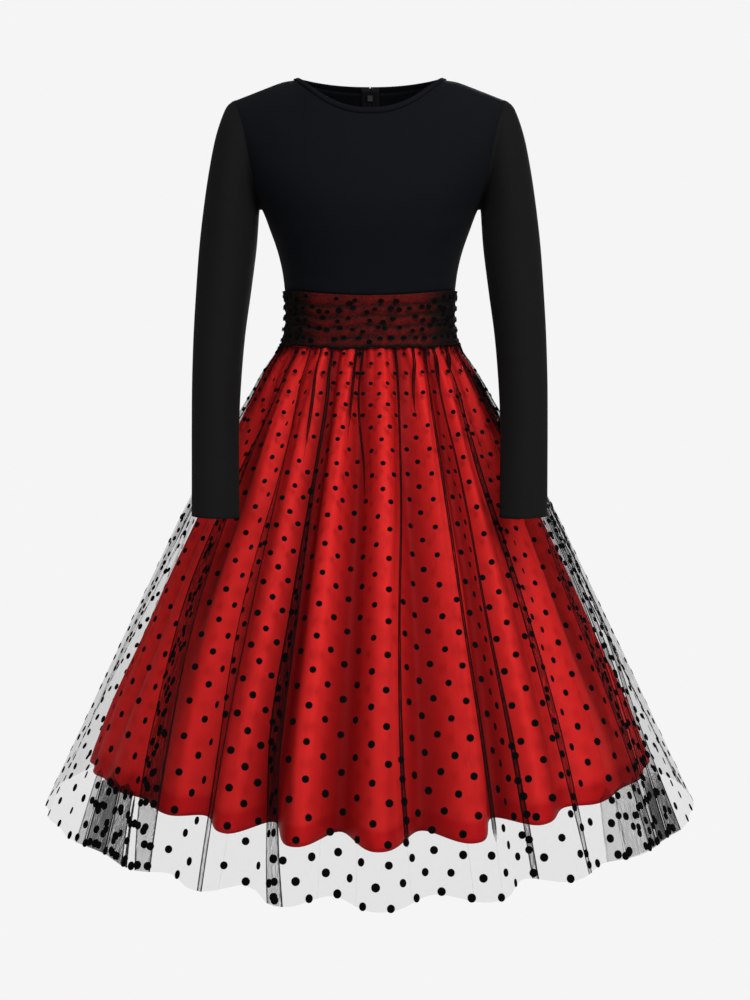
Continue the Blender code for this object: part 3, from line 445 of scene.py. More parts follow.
# ---- Creases of the bodice and sleeves ----
# Each runs between two points of the front or the back, as seen from the front, on both sides.
BODICE_CREASES = table(
    "face x0 z0 x1 z1 width depth",
    ("front", 0.136, -0.18, 0.092, -0.196, 0.009, -0.0011),
    ("front", 0.137, -0.168, 0.104, -0.16, 0.008, -0.0009),
    ("front", 0.126, -0.222, 0.09, -0.236, 0.009, -0.0008),
    ("front", 0.11, -0.262, 0.07, -0.272, 0.007, -0.0007),
    ("front", 0.15, -0.06, 0.128, -0.108, 0.01, -0.0008),
    ("back", 0.134, -0.178, 0.086, -0.168, 0.01, -0.0012),
    ("back", 0.128, -0.206, 0.074, -0.214, 0.01, -0.0011),
    ("back", 0.112, -0.246, 0.03, -0.256, 0.009, -0.0012),
    ("back", 0.108, -0.266, 0.04, -0.274, 0.007, -0.0009),
)
SLEEVE_CREASES = table(
    "face x0 z0 x1 z1 width depth",
    ("front", 0.158, -0.196, 0.196, -0.17, 0.008, -0.0014),
    ("front", 0.16, -0.216, 0.19, -0.206, 0.007, -0.0011),
    ("front", 0.166, -0.33, 0.198, -0.318, 0.008, -0.0013),
    ("front", 0.168, -0.356, 0.204, -0.352, 0.007, -0.0012),
    ("front", 0.17, -0.384, 0.196, -0.392, 0.007, -0.001),
    ("front", 0.176, -0.52, 0.204, -0.512, 0.006, -0.0008),
    ("back", 0.16, -0.2, 0.198, -0.184, 0.008, -0.0013),
    ("back", 0.17, -0.322, 0.206, -0.336, 0.008, -0.0013),
    ("back", 0.17, -0.366, 0.208, -0.372, 0.008, -0.0012),
    ("back", 0.172, -0.48, 0.204, -0.47, 0.007, -0.0009),
)

# ---- Colours, weave, camera and light ----
SATIN_BRIGHT = (0.56, 0.018, 0.016)
SATIN_DEEP = (0.43, 0.0065, 0.0075)
SATIN_HEM = (0.38, 0.005, 0.006)
# Painted shade: the satin's colour in the fold troughs and gathers, where shade falls.
SATIN_PAINTED_SHADE = (0.15, 0.0012, 0.002)
# The net's mesh: holes per metre, how far it is turned, where a thread starts and ends as shares of
# a hole, and how dense the holes and the threads are as shares of the mean.
MESH_PER_METRE = 850.0
MESH_TURN = 0.785
THREAD_OUTSIDE = 0.13
THREAD_INSIDE = 0.05
HOLE_SHARE = 0.5
THREAD_GAIN = 1.45
RUCHE_STREAKS = 0.28
RUCHE_GRAIN = 0.2
BACKGROUND = (0.913, 0.913, 0.913, 1.0)
AMBIENT = 0.17
CAMERA_PLACE = (0.0067, -2.3089, -0.4087)
CAMERA_PITCH = 2.2265
CAMERA_FOCAL_PIXELS = 1713.1
IMAGE_LONG_SIDE = 1000
CAMERA_SHIFT_Y = -0.05
SENSOR_WIDTH = 36.0
FLOOR_Z = -1.42
FLOOR_RADIUS = 9.0
FLOOR_SIDES = 96
SOFTBOXES = table(
    "name x y z size power",
    ("key_light", 1.9, -2.5, 0.8, 1.5, 79.0),
    ("fill_light", -2.0, -2.5, 0.4, 1.3, 42.0),
    ("top_light", 0.6, -1.6, 2.0, 1.6, 82.0),
    ("side_light", 2.4, -1.5, -0.9, 1.0, 13.0),
    ("back_light", 0.5, 3.2, 0.9, 1.6, 78.0),
)
LIGHT_TARGET = Vector((0.0, 0.0, -0.5))


# ---- Reading the tables ----

def hermite(start, end, lead, follow, t):
    return (
        (2 * t**3 - 3 * t**2 + 1) * start
        + (t**3 - 2 * t**2 + t) * lead
        + (3 * t**2 - 2 * t**3) * end
        + (t**3 - t**2) * follow
    )


def smooth_between(places, values, place):
    """The value at a place, on a smooth curve through the values at rising places."""
    last = len(places) - 1
    if place <= places[0]:
        return values[0]
    if place >= places[last]:
        return values[last]
    index = max(i for i in range(last) if places[i] <= place)

    def slope(i):
        before, after = max(i - 1, 0), min(i + 1, last)
        return (values[after] - values[before]) / (places[after] - places[before])

    span = places[index + 1] - places[index]
    lead, follow = slope(index) * span, slope(index + 1) * span
    return hermite(values[index], values[index + 1], lead, follow, (place - places[index]) / span)


def column_at(rows, name, z):
    """A column of a table at height z; the rows run downward."""
    return smooth_between([-row.z for row in rows], [getattr(row, name) for row in rows], -z)


def mix(first, second, share):
    return first + (second - first) * share


def clamp(value, low=0.0, high=1.0):
    return min(max(value, low), high)


def smooth_step(share):
    held = clamp(share)
    return held * held * (3 - 2 * held)


def bell(offset, width):
    return exp(-((offset / width) ** 2))


def steps(start, end, count):
    return [mix(start, end, i / count) for i in range(count + 1)]


def turns(count):
    """Angles spaced evenly round a full turn."""
    return [2 * pi * step / count for step in range(count)]


def face_at(angle):
    return "front" if cos(angle) > 0 else "back"


def turned(point, sign):
    """A point of the right side as it is, or mirrored to the left."""
    return Vector((point.x * sign, point.y, point.z))


# ---- The body that the bodice and waistband follow ----

def neck_settle(x):
    """The soft edge settles a little where it crosses the shoulders."""
    return NECK_SETTLE * bell(abs(x) - NECK_HALF_WIDTH, NECK_SETTLE_WIDTH)


def shoulder_z(x):
    """The line of the shoulder seam, crowned over the neck opening."""
    reach = abs(x)
    settled = HIGH_SHOULDER_Z - neck_settle(x)
    if reach <= NECK_HALF_WIDTH:
        return settled + NECK_CROWN * (1 - (reach / NECK_HALF_WIDTH) ** 2)
    return settled - SHOULDER_SLOPE * (reach - NECK_HALF_WIDTH)


def body_depth(x, z, face):
    """How far the outer face stands from the plane of the side seams."""
    ratio = min(abs(x) / column_at(BODY, "half_width", z), 1.0)
    below = clamp((shoulder_z(x) - z) / SHOULDER_ROUND)
    return column_at(BODY, face, z) * sqrt(1 - ratio**BODY_SQUARENESS) * sqrt(1 - (1 - below) ** 2)


def neck_point(angle, inset):
    """A point round the neck, angle 0 at the front centre, inset outward from the finished edge."""
    across, face = sin(angle), face_at(angle)
    half_width = NECK_HALF_WIDTH + inset
    x = half_width * across
    z = shoulder_z(half_width) - (NECK_DROP[face] + inset) * (1 - abs(across) ** NECK_ROUNDNESS)
    z += neck_settle(half_width) * (1 - abs(across) ** NECK_SETTLE_POWER)
    return Vector((x, OUTWARD[face] * body_depth(x, z, face), z))


def waist_top(angle):
    return WAIST_TOP_Z - WAIST_TOP_DIP[face_at(angle)] * cos(angle) ** 2


def waist_bottom(angle):
    return WAIST_BOTTOM_Z - WAIST_BOTTOM_DIP[face_at(angle)] * cos(angle) ** 2


def clear_of_zip(angle, half_width, depth, z):
    """x and y of a place round the body; the back halves part along the zip and meet below it."""
    across = sin(angle)
    if cos(angle) > 0:
        return half_width * across, -depth
    gap = ZIP_HALF_GAP * smooth_step((z - ZIP_BOTTOM_Z) / ZIP_CLOSING + 1)
    return copysign(1.0, across) * (gap + (half_width - gap) * abs(across)), depth


def band_point(angle, down):
    """Outer face of the satin waistband: down runs from 0 at its top seam to 1 at its bottom seam."""
    z = mix(waist_top(angle), waist_bottom(angle), down)
    half_width = column_at(BODY, "half_width", z)
    depth = body_depth(half_width * sin(angle), z, face_at(angle))
    return Vector((*clear_of_zip(angle, half_width, depth, z), z))


# ---- Bodice and sleeves ----

def armhole_edge(down):
    """The edge of a bodice panel: x, its share of the armhole's reach, and z."""
    tip_z = shoulder_z(SHOULDER_TIP_X)
    z = mix(tip_z, WAIST_TOP_Z, down)
    if z < UNDERARM_Z:
        return column_at(BODY, "half_width", z), 0.0, z
    cosine = 1 - 2 * (tip_z - z) / (tip_z - UNDERARM_Z)
    return column_at(ARMHOLE, "x", z), sqrt(max(1 - cosine**2, 0.0)), z


def bodice_point(top, down, face):
    """top is the column's place along the top edge: 0 at the centre, 1 at HPS, 2 at the shoulder tip."""
    side, place, in_front = copysign(1.0, top), abs(top), face == "front"
    inset = BINDING_WIDTH - SEAM_GAP
    if place <= 1:
        angle = place * pi / 2
        edge = neck_point(angle if in_front else pi - angle, inset)
        top_x, top_z = edge.x, edge.z
    else:
        top_x = mix(NECK_HALF_WIDTH + inset, SHOULDER_TIP_X, place - 1)
        top_z = shoulder_z(top_x)
    edge_x, edge_share, edge_z = armhole_edge(down)
    x = top_x * edge_x / SHOULDER_TIP_X
    turn = asin(min(top_x / SHOULDER_TIP_X, 1.0))
    z = mix(top_z, waist_top(turn if in_front else pi - turn), down)
    correction = ARMHOLE_REACH[face] * edge_share - body_depth(edge_x, edge_z, face)
    depth = body_depth(x, z, face) + correction * (top_x / SHOULDER_TIP_X) ** ARMHOLE_PIN
    depth += crease_lift(BODICE_CREASES, face, x, z)
    if in_front:
        return Vector((side * x, -depth, z))
    return Vector((side * (ZIP_HALF_GAP + x * (edge_x - ZIP_HALF_GAP) / edge_x), depth, z))


def crease_lift(creases, face, x, z):
    """The sum of the soft troughs and ridges at a place, each dying away at its two ends."""
    lift = 0.0
    for crease in (crease for crease in creases if crease.face == face):
        run_x, run_z = crease.x1 - crease.x0, crease.z1 - crease.z0
        off_x, off_z = abs(x) - crease.x0, z - crease.z0
        length = hypot(run_x, run_z)
        along = (off_x * run_x + off_z * run_z) / length**2
        aside = (off_x * run_z - off_z * run_x) / length
        ends = smooth_step(along * 3 + 1) * smooth_step((1 - along) * 3 + 1)
        lift += crease.depth * ends * bell(aside, crease.width)
    return lift


def armhole_point(angle):
    """A point of the right armhole: angle 0 at the shoulder tip, a quarter turn to the front."""
    z = mix(shoulder_z(SHOULDER_TIP_X), UNDERARM_Z, (1 - cos(angle)) / 2)
    reach = ARMHOLE_REACH["front" if sin(angle) > 0 else "back"]
    return Vector((column_at(ARMHOLE, "x", z), -reach * sin(angle), z))


def sleeve_ring(angle, ring):
    """A point of the plain ring at a place along the sleeve, read smoothly between the rows."""
    last = len(SLEEVE) - 1
    index = min(int(ring), last - 1)

    def smooth(name):
        before, start, end, after = [
            getattr(SLEEVE[clamp(index + i, 0, last)], name) for i in (-1, 0, 1, 2)
        ]
        return hermite(start, end, (end - before) / 2, (after - start) / 2, ring - index)

    outer = Vector((smooth("outer_x"), smooth("centre_y"), smooth("outer_z")))
    inner = Vector((smooth("inner_x"), smooth("centre_y"), smooth("inner_z")))
    forward = Vector((0, -smooth("reach"), 0))
    return (outer + inner) / 2 + (outer - inner) / 2 * cos(angle) + forward * sin(angle)


def sleeve_point(angle, ring):
    """Outer face of the right sleeve: ring -1 at the armhole seam, 0 just past it, then the rows."""
    lead = Vector((1, 0, -SHOULDER_SLOPE * max(cos(angle), 0))).normalized()
    seam = armhole_point(angle)
    if ring <= 0:
        return seam + lead * mix(SEAM_GAP, SLEEVE_LEAD, ring + 1)
    held = max(1 - ring / SLEEVE_BLEND_RINGS, 0.0) ** 2
    point = sleeve_ring(angle, ring) + (seam + lead * SLEEVE_LEAD - sleeve_ring(angle, 0)) * held
    face = "front" if sin(angle) > 0 else "back"
    lift = crease_lift(SLEEVE_CREASES, face, point.x, point.z) * smooth_step(ring)
    point.y += OUTWARD[face] * lift * abs(sin(angle)) ** 0.5
    return point


# ---- Skirts ----

def fold_place(angle):
    """The index of the fold before a place round the skirt, and the share of the way to the next."""
    place = degrees(angle)
    index = next(i for i in range(1, len(FOLD_ROUND)) if place <= FOLD_ROUND[i].degrees + 1e-9)
    before, after = FOLD_ROUND[index - 1].degrees, FOLD_ROUND[index].degrees
    return index - 1, (place - before) / (after - before)


def fold_wave(angle):
    """A fold's own reach on its ridge, falling into the trough beside it."""
    index, share = fold_place(angle)
    reach = mix(FOLD_ROUND[index].reach, FOLD_ROUND[index + 1].reach, share)
    trough = reach + FOLD_ROUND[index].trough
    return reach - trough * abs(sin(pi * share)) ** (2 * FOLD_SHARPNESS)


def gather_wave(angle):
    return sum(g.reach * sin(g.turns * angle + g.phase) for g in GATHERS)


def painted_fold_shade(angle, down):
    """Painted shade for the satin's colour: 0 on the ridges and up to 1 in the deepest troughs, and in the
    gathers below the waist seam.
    """
    index, share = fold_place(fallen_angle(angle, down))
    deep = min(FOLD_ROUND[index].trough / FULLY_SHADED_TROUGH, 1.0) * abs(sin(pi * share)) ** TROUGH_SHADE_POWER
    deep *= 1 - SIDE_SHADE_EASE * towards_side(angle, FOLD_SIDES) * down
    gathered = max(-gather_wave(angle) / GATHERS[0].reach, 0.0) * exp(-down / GATHER_SHADE_FADE)
    return min(deep + GATHER_SHADE * gathered, 1.0)


def fallen_angle(angle, down):
    """Where the fold that passes a place stands at the hem."""
    return angle - (1 - down) * (FOLD_SPREAD * sin(angle) + FOLD_SHIFT * cos(angle / 2) ** 2)


def towards_side(angle, sides):
    """0 at the front and back, rising to 1 towards the side seams."""
    start, rise = sides
    return smooth_step((abs(sin(angle)) - start) / rise)


def fold_reach(angle, down, main):
    """How far the folds and gathers carry the cloth outward."""
    place = fallen_angle(angle, down)
    index, share = fold_place(place)
    split = SPLIT_FOLD_REACH * bell(down - SPLIT_FOLD_PEAK, SPLIT_FOLD_FADE)
    split *= cos(4 * pi * share + SPLIT_FOLD_PHASE * sin(index * SPLIT_FOLD_TURN))
    split *= abs(sin(pi * share)) * min(down * SPLIT_FOLD_RISE, 1.0)
    deep = 1 + FOLD_DEEPEN * bell(down - FOLD_DEEPEST, FOLD_DEEPEN_FADE)
    calm = 1 - down * (HEM_CALM + SIDE_CALM * towards_side(angle, FOLD_SIDES))
    main_fold = main * (deep * calm * fold_wave(place) + 1 - calm)
    return main_fold + split + gather_wave(angle) * exp(-down / GATHER_FADE)


def zip_flatness(x, z):
    """1 where the zip holds the back flat, fading to 0 below its end and to either side."""
    above_end = smooth_step((z - (ZIP_FLAT_Z - ZIP_FLAT_FADE)) / ZIP_FLAT_FADE)
    return above_end * (1 - smooth_step((abs(x) - ZIP_FLAT_HALF_WIDTH) / ZIP_FLAT_FADE))


def skirt_point(rows, hem, angle, down, lift=0.0):
    """Outer face of a skirt: down runs from 0 at the waist seam to 1 at the hem."""
    z = mix(waist_bottom(angle), hem(angle), down)
    face = face_at(angle)
    half_width, depth = column_at(rows, "half_width", z), column_at(rows, face, z)
    squareness = mix(BODY_SQUARENESS, HEM_SQUARENESS, min(down * SQUARENESS_FADE, 1.0))
    fullness = sqrt(max(1 - abs(sin(angle)) ** squareness, 0.0))
    x, y = clear_of_zip(angle, half_width, depth * fullness, z)
    outward = Vector((depth * sin(angle), -half_width * cos(angle), 0)).normalized()
    fold = fold_reach(angle, down, column_at(rows, "fold", z))
    if face == "back":
        fold *= 1 - zip_flatness(x, z)
    return Vector((x, y, z)) + outward * (fold + lift)


def hem_z(angle, side_z, fold_dip):
    """The hem hangs lowest at the centre of the front and back, and a little lower on each ridge."""
    fold = fold_dip * fold_wave(angle) * (1 - SIDE_LEVEL * towards_side(angle, FOLD_SIDES))
    return side_z - HEM_DIP[face_at(angle)] * cos(angle) ** HEM_DIP_POWER - fold


def under_hem(angle):
    return hem_z(angle, UNDER_HEM_Z, UNDER_FOLD_DIP)


def over_hem(angle):
    return hem_z(angle, OVER_HEM_Z, OVER_FOLD_DIP)


def turned_up(angle, down, fade):
    """1 where the satin's hem is turned up, fading to 0 above it."""
    length = waist_bottom(angle) - under_hem(angle)
    return smooth_step(((down - 1) * length + HEM_DEPTH) / fade)


def underskirt_point(angle, down):
    """The turned-up hem makes a low step a little above the edge."""
    return skirt_point(UNDER, under_hem, angle, down, HEM_STEP * turned_up(angle, down, HEM_STEP_FADE))


def overskirt_point(angle, down, lift=0.0):
    return skirt_point(OVER, over_hem, angle, down, lift)


def back_centre_point(x, z, depth):
    """A point near the back's centre seam at height z, depth inward of the outer face."""
    if z > waist_bottom(pi):
        return Vector((x, body_depth(x, z, "back") - depth, z))
    angle = copysign(1.0, x) * (pi - asin(abs(x) / column_at(UNDER, "half_width", z)))
    down = (waist_bottom(angle) - z) / (waist_bottom(angle) - under_hem(angle))
    return Vector((x, underskirt_point(angle, max(down, 0.0)).y - depth, z))


# ---- Making meshes ----

def new_object(name, data):
    made = bpy.data.objects.new(name, data)
    bpy.context.scene.collection.objects.link(made)
    return made


def new_mesh(name, points, faces, material):
    mesh = bpy.data.meshes.new(name)
    mesh.from_pydata([tuple(point) for point in points], [], faces)
    mesh.materials.append(material)
    return new_object(name, mesh)


def add_piece(name, points, faces, material, smooth=True):
    piece = new_mesh(name, points, faces, material)
    if smooth:
        piece.data.shade_smooth()
    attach(piece, "dress")
    return piece


def grid_faces(rows, columns, is_tube=False):
    """Faces of a grid of points, row by row downwards and rightwards as the outside is seen."""
    faces = []
    for row in range(rows - 1):
        for column in range(columns if is_tube else columns - 1):
            right = (column + 1) % columns
            above, below = row * columns, (row + 1) * columns
            faces.append((above + column, below + column, below + right, above + right))
    return faces


def solid_faces(rings, sides, base=0):
    """Faces of a solid through rings of points, closed at both ends."""
    faces = grid_faces(rings, sides, is_tube=True)
    faces += [tuple(range(sides)), tuple(reversed(range((rings - 1) * sides, rings * sides)))]
    return [tuple(index + base for index in face) for face in faces]


def cloth(name, surface, across, along, material, wall=0.0, is_tube=False):
    """A sheet laid on the surface; with a wall, it is thickened inward of it."""
    points = [surface(place, down) for down in along for place in across]
    piece = add_piece(name, points, grid_faces(len(along), len(across), is_tube), material)
    lay_out_cloth(piece, points, len(along), len(across))
    if wall:
        solid = piece.modifiers.new("wall", "SOLIDIFY")
        solid.thickness = wall
        solid.offset = -1.0
    return piece


def lay_out_cloth(piece, points, rows, columns):
    """A UV map in metres of cloth: across from the panel's middle and down from its top."""
    grid = np.array([tuple(point) for point in points]).reshape(rows, columns, 3)
    across = np.linalg.norm(np.diff(grid, axis=1, prepend=grid[:, :1]), axis=2).cumsum(axis=1)
    across -= across[:, [columns // 2]]
    down = np.linalg.norm(np.diff(grid, axis=0, prepend=grid[:1]), axis=2).cumsum(axis=0)
    flat = np.stack([across, -down], axis=2).reshape(-1, 2)
    layer = piece.data.uv_layers.new(name="cloth")
    corner_points = np.empty(len(piece.data.loops), dtype=np.int32)
    piece.data.loops.foreach_get("vertex_index", corner_points)
    layer.data.foreach_set("uv", flat[corner_points].astype(np.float32).ravel())


def set_weights(piece, name, values):
    """A number for each point of the piece, or one for all, for its material to read."""
    layer = piece.data.attributes.new(name, "FLOAT", "POINT")
    values = np.broadcast_to(np.array(values, dtype=np.float32), len(piece.data.vertices))
    layer.data.foreach_set("value", np.ascontiguousarray(values))


def tube(name, path, radius, material, sides=8, closed=False):
    """A round cord along a path of points, for seams and piping."""
    points, count = [], len(path)
    for i, centre in enumerate(path):
        before = path[(i - 1) % count] if closed or i > 0 else path[i]
        after = path[(i + 1) % count] if closed or i < count - 1 else path[i]
        ahead = (after - before).normalized()
        side = ahead.cross(Vector((0.3, 0.5, 1.0))).normalized()
        other = ahead.cross(side)
        points += [centre + side * radius * cos(turn) + other * radius * sin(turn) for turn in turns(sides)]
    if closed:
        faces = grid_faces(count + 1, sides, is_tube=True)
        faces = [tuple(index % len(points) for index in face) for face in faces]
    else:
        faces = solid_faces(count, sides)
    return add_piece(name, points, faces, material)


# ---- Materials ----

class Shader:
    """A Principled material and the few nodes that the cloths share."""

    def __init__(self, name, colour, roughness, specular, sheen=0.0, metallic=0.0):
        self.material = bpy.data.materials.new(name)
        self.material.use_nodes = True
        self.tree = self.material.node_tree
        self.surface = self.tree.nodes["Principled BSDF"]
        names = ("Base Color", "Roughness", "Specular IOR Level", "Sheen Weight", "Metallic")
        for socket, value in zip(names, (colour, roughness, specular, sheen, metallic)):
            self.give(socket, value)

    def give(self, socket, value):
        self.set(self.surface, socket, value)

    def set(self, node, socket, value):
        """Sets a socket to a number or colour, or links another node's output to it."""
        target = node.inputs[socket]
        if isinstance(value, bpy.types.NodeSocket):
            self.tree.links.new(value, target)
        else:
            target.default_value = (*value, 1.0) if target.type == "RGBA" else value

    def node(self, kind, output=0, **settings):
        """A new node's output; sockets are named with a capital or numbered, the rest is its choices."""
        made = self.tree.nodes.new("ShaderNode" + kind)
        for name, value in settings.items():
            if name[0].islower():
                setattr(made, name, value)
            else:
                self.set(made, int(name[1:]) if name[0] == "_" else name, value)
        return made.outputs[output]

    def maths(self, operation, first, second, clamp=False):
        return self.node("Math", operation=operation, use_clamp=clamp, _0=first, _1=second)

    def add(self, first, second):
        return self.maths("ADD", first, second)

    def times(self, first, second):
        return self.maths("MULTIPLY", first, second)

    def cloth_place(self):
        return self.node("UVMap", uv_map="cloth")

    def weight(self, name):
        return self.node("Attribute", 2, attribute_name=name)

    def stretched(self, place, across, down):
        return self.node("Mapping", Vector=place, Scale=(across, down, 1.0))

    def noise(self, place, scale, detail=3.0, roughness=0.55):
        return self.node("TexNoise", Vector=place, Scale=scale, Detail=detail, Roughness=roughness)

    def patches(self, scale, detail=3.0):
        """Noise through the whole piece, whatever way its cloth runs."""
        return self.noise(self.node("TexCoord", 3), scale, detail)

    def cell_edge(self, place, scale):
        """How far a place is from the edge of its cell, in cells."""
        slanted = self.node("Mapping", Vector=place, Rotation=(0.0, 0.0, MESH_TURN))
        return self.node(
            "TexVoronoi", feature="DISTANCE_TO_EDGE", Vector=slanted, Scale=scale, Randomness=0.4
        )

    def wave(self, place, scale, direction, distortion=0.0):
        return self.node(
            "TexWave", 1, bands_direction=direction, Vector=place, Scale=scale, Distortion=distortion
        )

    def between(self, share, first, second):
        """A colour between two."""
        return self.node("Mix", 2, data_type="RGBA", _0=share, _6=first, _7=second)

    def blend(self, share, first, second):
        """A number between two."""
        return self.node("Mix", data_type="FLOAT", _0=share, _2=first, _3=second)

    def ramp(self, value, low, high):
        """0 below low and 1 above high."""
        return self.node("MapRange", interpolation_type="SMOOTHSTEP", Value=value, _1=low, _2=high)

    def bump(self, height, distance, strength=1.0):
        self.give("Normal", self.node("Bump", Height=height, Distance=distance, Strength=strength))


def knit_material(name, colour, shade):
    """Fine jersey: close wales with a little slub, and a soft uneven sheen."""
    knit = Shader(name, colour, 0.8, 0.035, sheen=0.008)
    place = knit.cloth_place()
    knit.give("Base Color", knit.between(knit.patches(9.0, 4.0), shade, colour))
    loops = knit.times(knit.wave(place, 420.0, "X", 0.6), knit.wave(place, 300.0, "Y", 0.8))
    knit.bump(knit.add(loops, knit.noise(place, 900.0, detail=2.0)), 0.00012, 0.7)
    return knit.material


def satin_material():
    """Bright close-woven satin: fine cross threads and gloss along the folds, painted shade in the fold
    troughs and the gathers below the waist seam, and a deeper colour where the hem is turned up."""
    satin = Shader("red_satin", SATIN_BRIGHT, 0.56, 0.05, metallic=0.17)
    place = satin.cloth_place()
    threads = satin.wave(place, 330.0, "Y", 3.0)
    mottles = satin.noise(place, 170.0, detail=4.0, roughness=0.7)
    worn = satin.times(satin.add(satin.add(satin.patches(14.0), threads), mottles), 0.34)
    colour = satin.between(worn, SATIN_DEEP, SATIN_BRIGHT)
    colour = satin.between(satin.weight("hem"), colour, SATIN_HEM)
    # Painted shade: the 'trough' weight darkens the colour in the fold troughs and gathers.
    satin.give("Base Color", satin.between(satin.weight("trough"), colour, SATIN_PAINTED_SHADE))
    satin.bump(satin.add(threads, satin.noise(place, 420.0)), 0.00012, 0.6)
    return satin.material


def net_material():
    """Sheer tulle: the piece's density, broken by its own fine open mesh and, where layers are drawn
    together, by streaks along them."""
    net = Shader("sheer_net", (0.0024, 0.0024, 0.0026), 0.85, 0.02)
    place = net.cloth_place()
    density = net.weight("cover")
    thread = net.ramp(net.cell_edge(place, MESH_PER_METRE), THREAD_OUTSIDE, THREAD_INSIDE)
    streaks = net.ramp(net.noise(net.stretched(place, 640.0, 30.0), 1.0), 0.32, 0.68)
    streaked = net.blend(net.ramp(density, 0.16, 0.34), 1.0, net.times(streaks, 1.5))
    pattern = net.times(streaked, net.add(net.times(thread, THREAD_GAIN), HOLE_SHARE))
    broken = net.maths("MULTIPLY", density, pattern, clamp=True)
    net.give("Alpha", net.blend(net.ramp(density, 0.5, 0.85), broken, density))
    return net.material


def ruched_material():
    """Net gathered into many layers over the satin, thinner on the ridges than in the folds."""
    ruched = Shader("ruched_net", (0.004, 0.0034, 0.003), 0.85, 0.02)
    place = ruched.cloth_place()
    along = ruched.noise(ruched.stretched(place, 22.0, 300.0), 1.0)
    upright = ruched.noise(ruched.stretched(place, 150.0, 24.0), 1.0)
    grain = ruched.ramp(ruched.noise(place, 330.0), 0.36, 0.64)
    streaks = ruched.times(ruched.add(along, upright), RUCHE_STREAKS)
    uneven = ruched.add(streaks, ruched.times(grain, RUCHE_GRAIN))
    uneven = ruched.maths("SUBTRACT", uneven, RUCHE_STREAKS + RUCHE_GRAIN / 2)
    ruched.give("Alpha", ruched.maths("SUBTRACT", ruched.weight("cover"), uneven, clamp=True))
    return ruched.material


def flock_material():
    flock = Shader("black_flock", (0.0018, 0.0018, 0.002), 0.95, 0.02)
    fuzz = flock.patches(1400.0, 2.0)
    flock.give("Base Color", flock.between(fuzz, (0.0007, 0.0007, 0.0008), (0.002, 0.002, 0.0022)))
    flock.bump(fuzz, 0.00015)
    return flock.material


def tape_material():
    tape = Shader("zip_tape", (0.004, 0.004, 0.005), 0.8, 0.08)
    herringbone = tape.wave(tape.cloth_place(), 500.0, "DIAGONAL")
    tape.give("Base Color", tape.between(herringbone, (0.003, 0.003, 0.004), (0.007, 0.007, 0.009)))
    tape.bump(herringbone, 0.0001)
    return tape.material


def coil_material():
    coil = Shader("zip_coil", (0.01, 0.01, 0.011), 0.38, 0.5)
    coil.give("Roughness", coil.add(coil.times(coil.patches(300.0), 0.2), 0.28))
    return coil.material


def metal_material():
    """Black lacquer over metal, a little rubbed."""
    metal = Shader("lacquered_metal", (0.008, 0.008, 0.009), 0.3, 0.4)
    metal.give("Coat Weight", 0.3)
    metal.give("Coat Roughness", 0.15)
    rub = metal.patches(220.0, 5.0)
    metal.give("Roughness", metal.add(metal.times(rub, 0.25), 0.22))
    metal.give("Base Color", metal.between(rub, (0.004, 0.004, 0.005), (0.012, 0.012, 0.013)))
    return metal.material


# ---- Bodice, sleeves and neck ----

def make_bodice(knit):
    rows = steps(0.0, 1.0, BODICE_STEPS)
    half = steps(0.0, 1.0, NECK_STEPS)
    half += [1 + sin(pi / 2 * share) for share in steps(0.0, 1.0, SHOULDER_STEPS)[1:]]
    whole = [-top for top in reversed(half[1:])] + half
    for name, face, sign, tops, flat, area in (
        ("front", "front", 1.0, whole, (0.42, 0.31), 0.104),
        ("back_right", "back", 1.0, half[::-1], (0.21, 0.3), 0.053),
        ("back_left", "back", -1.0, half, (0.21, 0.3), 0.053),
    ):
        panel = cloth(
            f"bodice_{name}_cloth", lambda top, down: turned(bodice_point(top, down, face), sign),
            tops, rows, knit, KNIT_WALL,
        )
        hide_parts(f"bodice_{name}")


def make_sleeves(knit):
    last = len(SLEEVE) - 1
    rings = steps(-1.0, 0.0, 2) + steps(0.0, last, SLEEVE_RINGS_PER_ROW * last)[1:]
    for side, sign in SIDES:
        sleeve = cloth(
            f"sleeve_{side}_cloth", lambda angle, ring: turned(sleeve_point(angle, ring), sign),
            [-sign * angle for angle in turns(SLEEVE_SIDES)], rings, knit, KNIT_WALL, is_tube=True,
        )
        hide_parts(f"sleeve_{side}")


def make_seams(knit):
    """Fine seam ridges round the armholes, along the shoulders and down the sides."""
    sunk = SEAM_WELT / 2
    shoulder_xs = steps(NECK_HALF_WIDTH + BINDING_WIDTH, SHOULDER_TIP_X, SEAM_STEPS)
    side_zs = steps(UNDERARM_Z, WAIST_TOP_Z, SEAM_STEPS)
    paths = {
        "armhole": [armhole_point(turn) for turn in turns(ARMHOLE_STEPS)],
        "shoulder": [Vector((x, 0.0, shoulder_z(x) - sunk)) for x in shoulder_xs],
        "side": [Vector((column_at(BODY, "half_width", z) - sunk, 0.0, z)) for z in side_zs],
    }
    for side, sign in SIDES:
        for seam, path in paths.items():
            path = [turned(point, sign) for point in path]
            tube(f"{seam}_seam_{side}", path, SEAM_WELT, knit, closed=seam == "armhole")


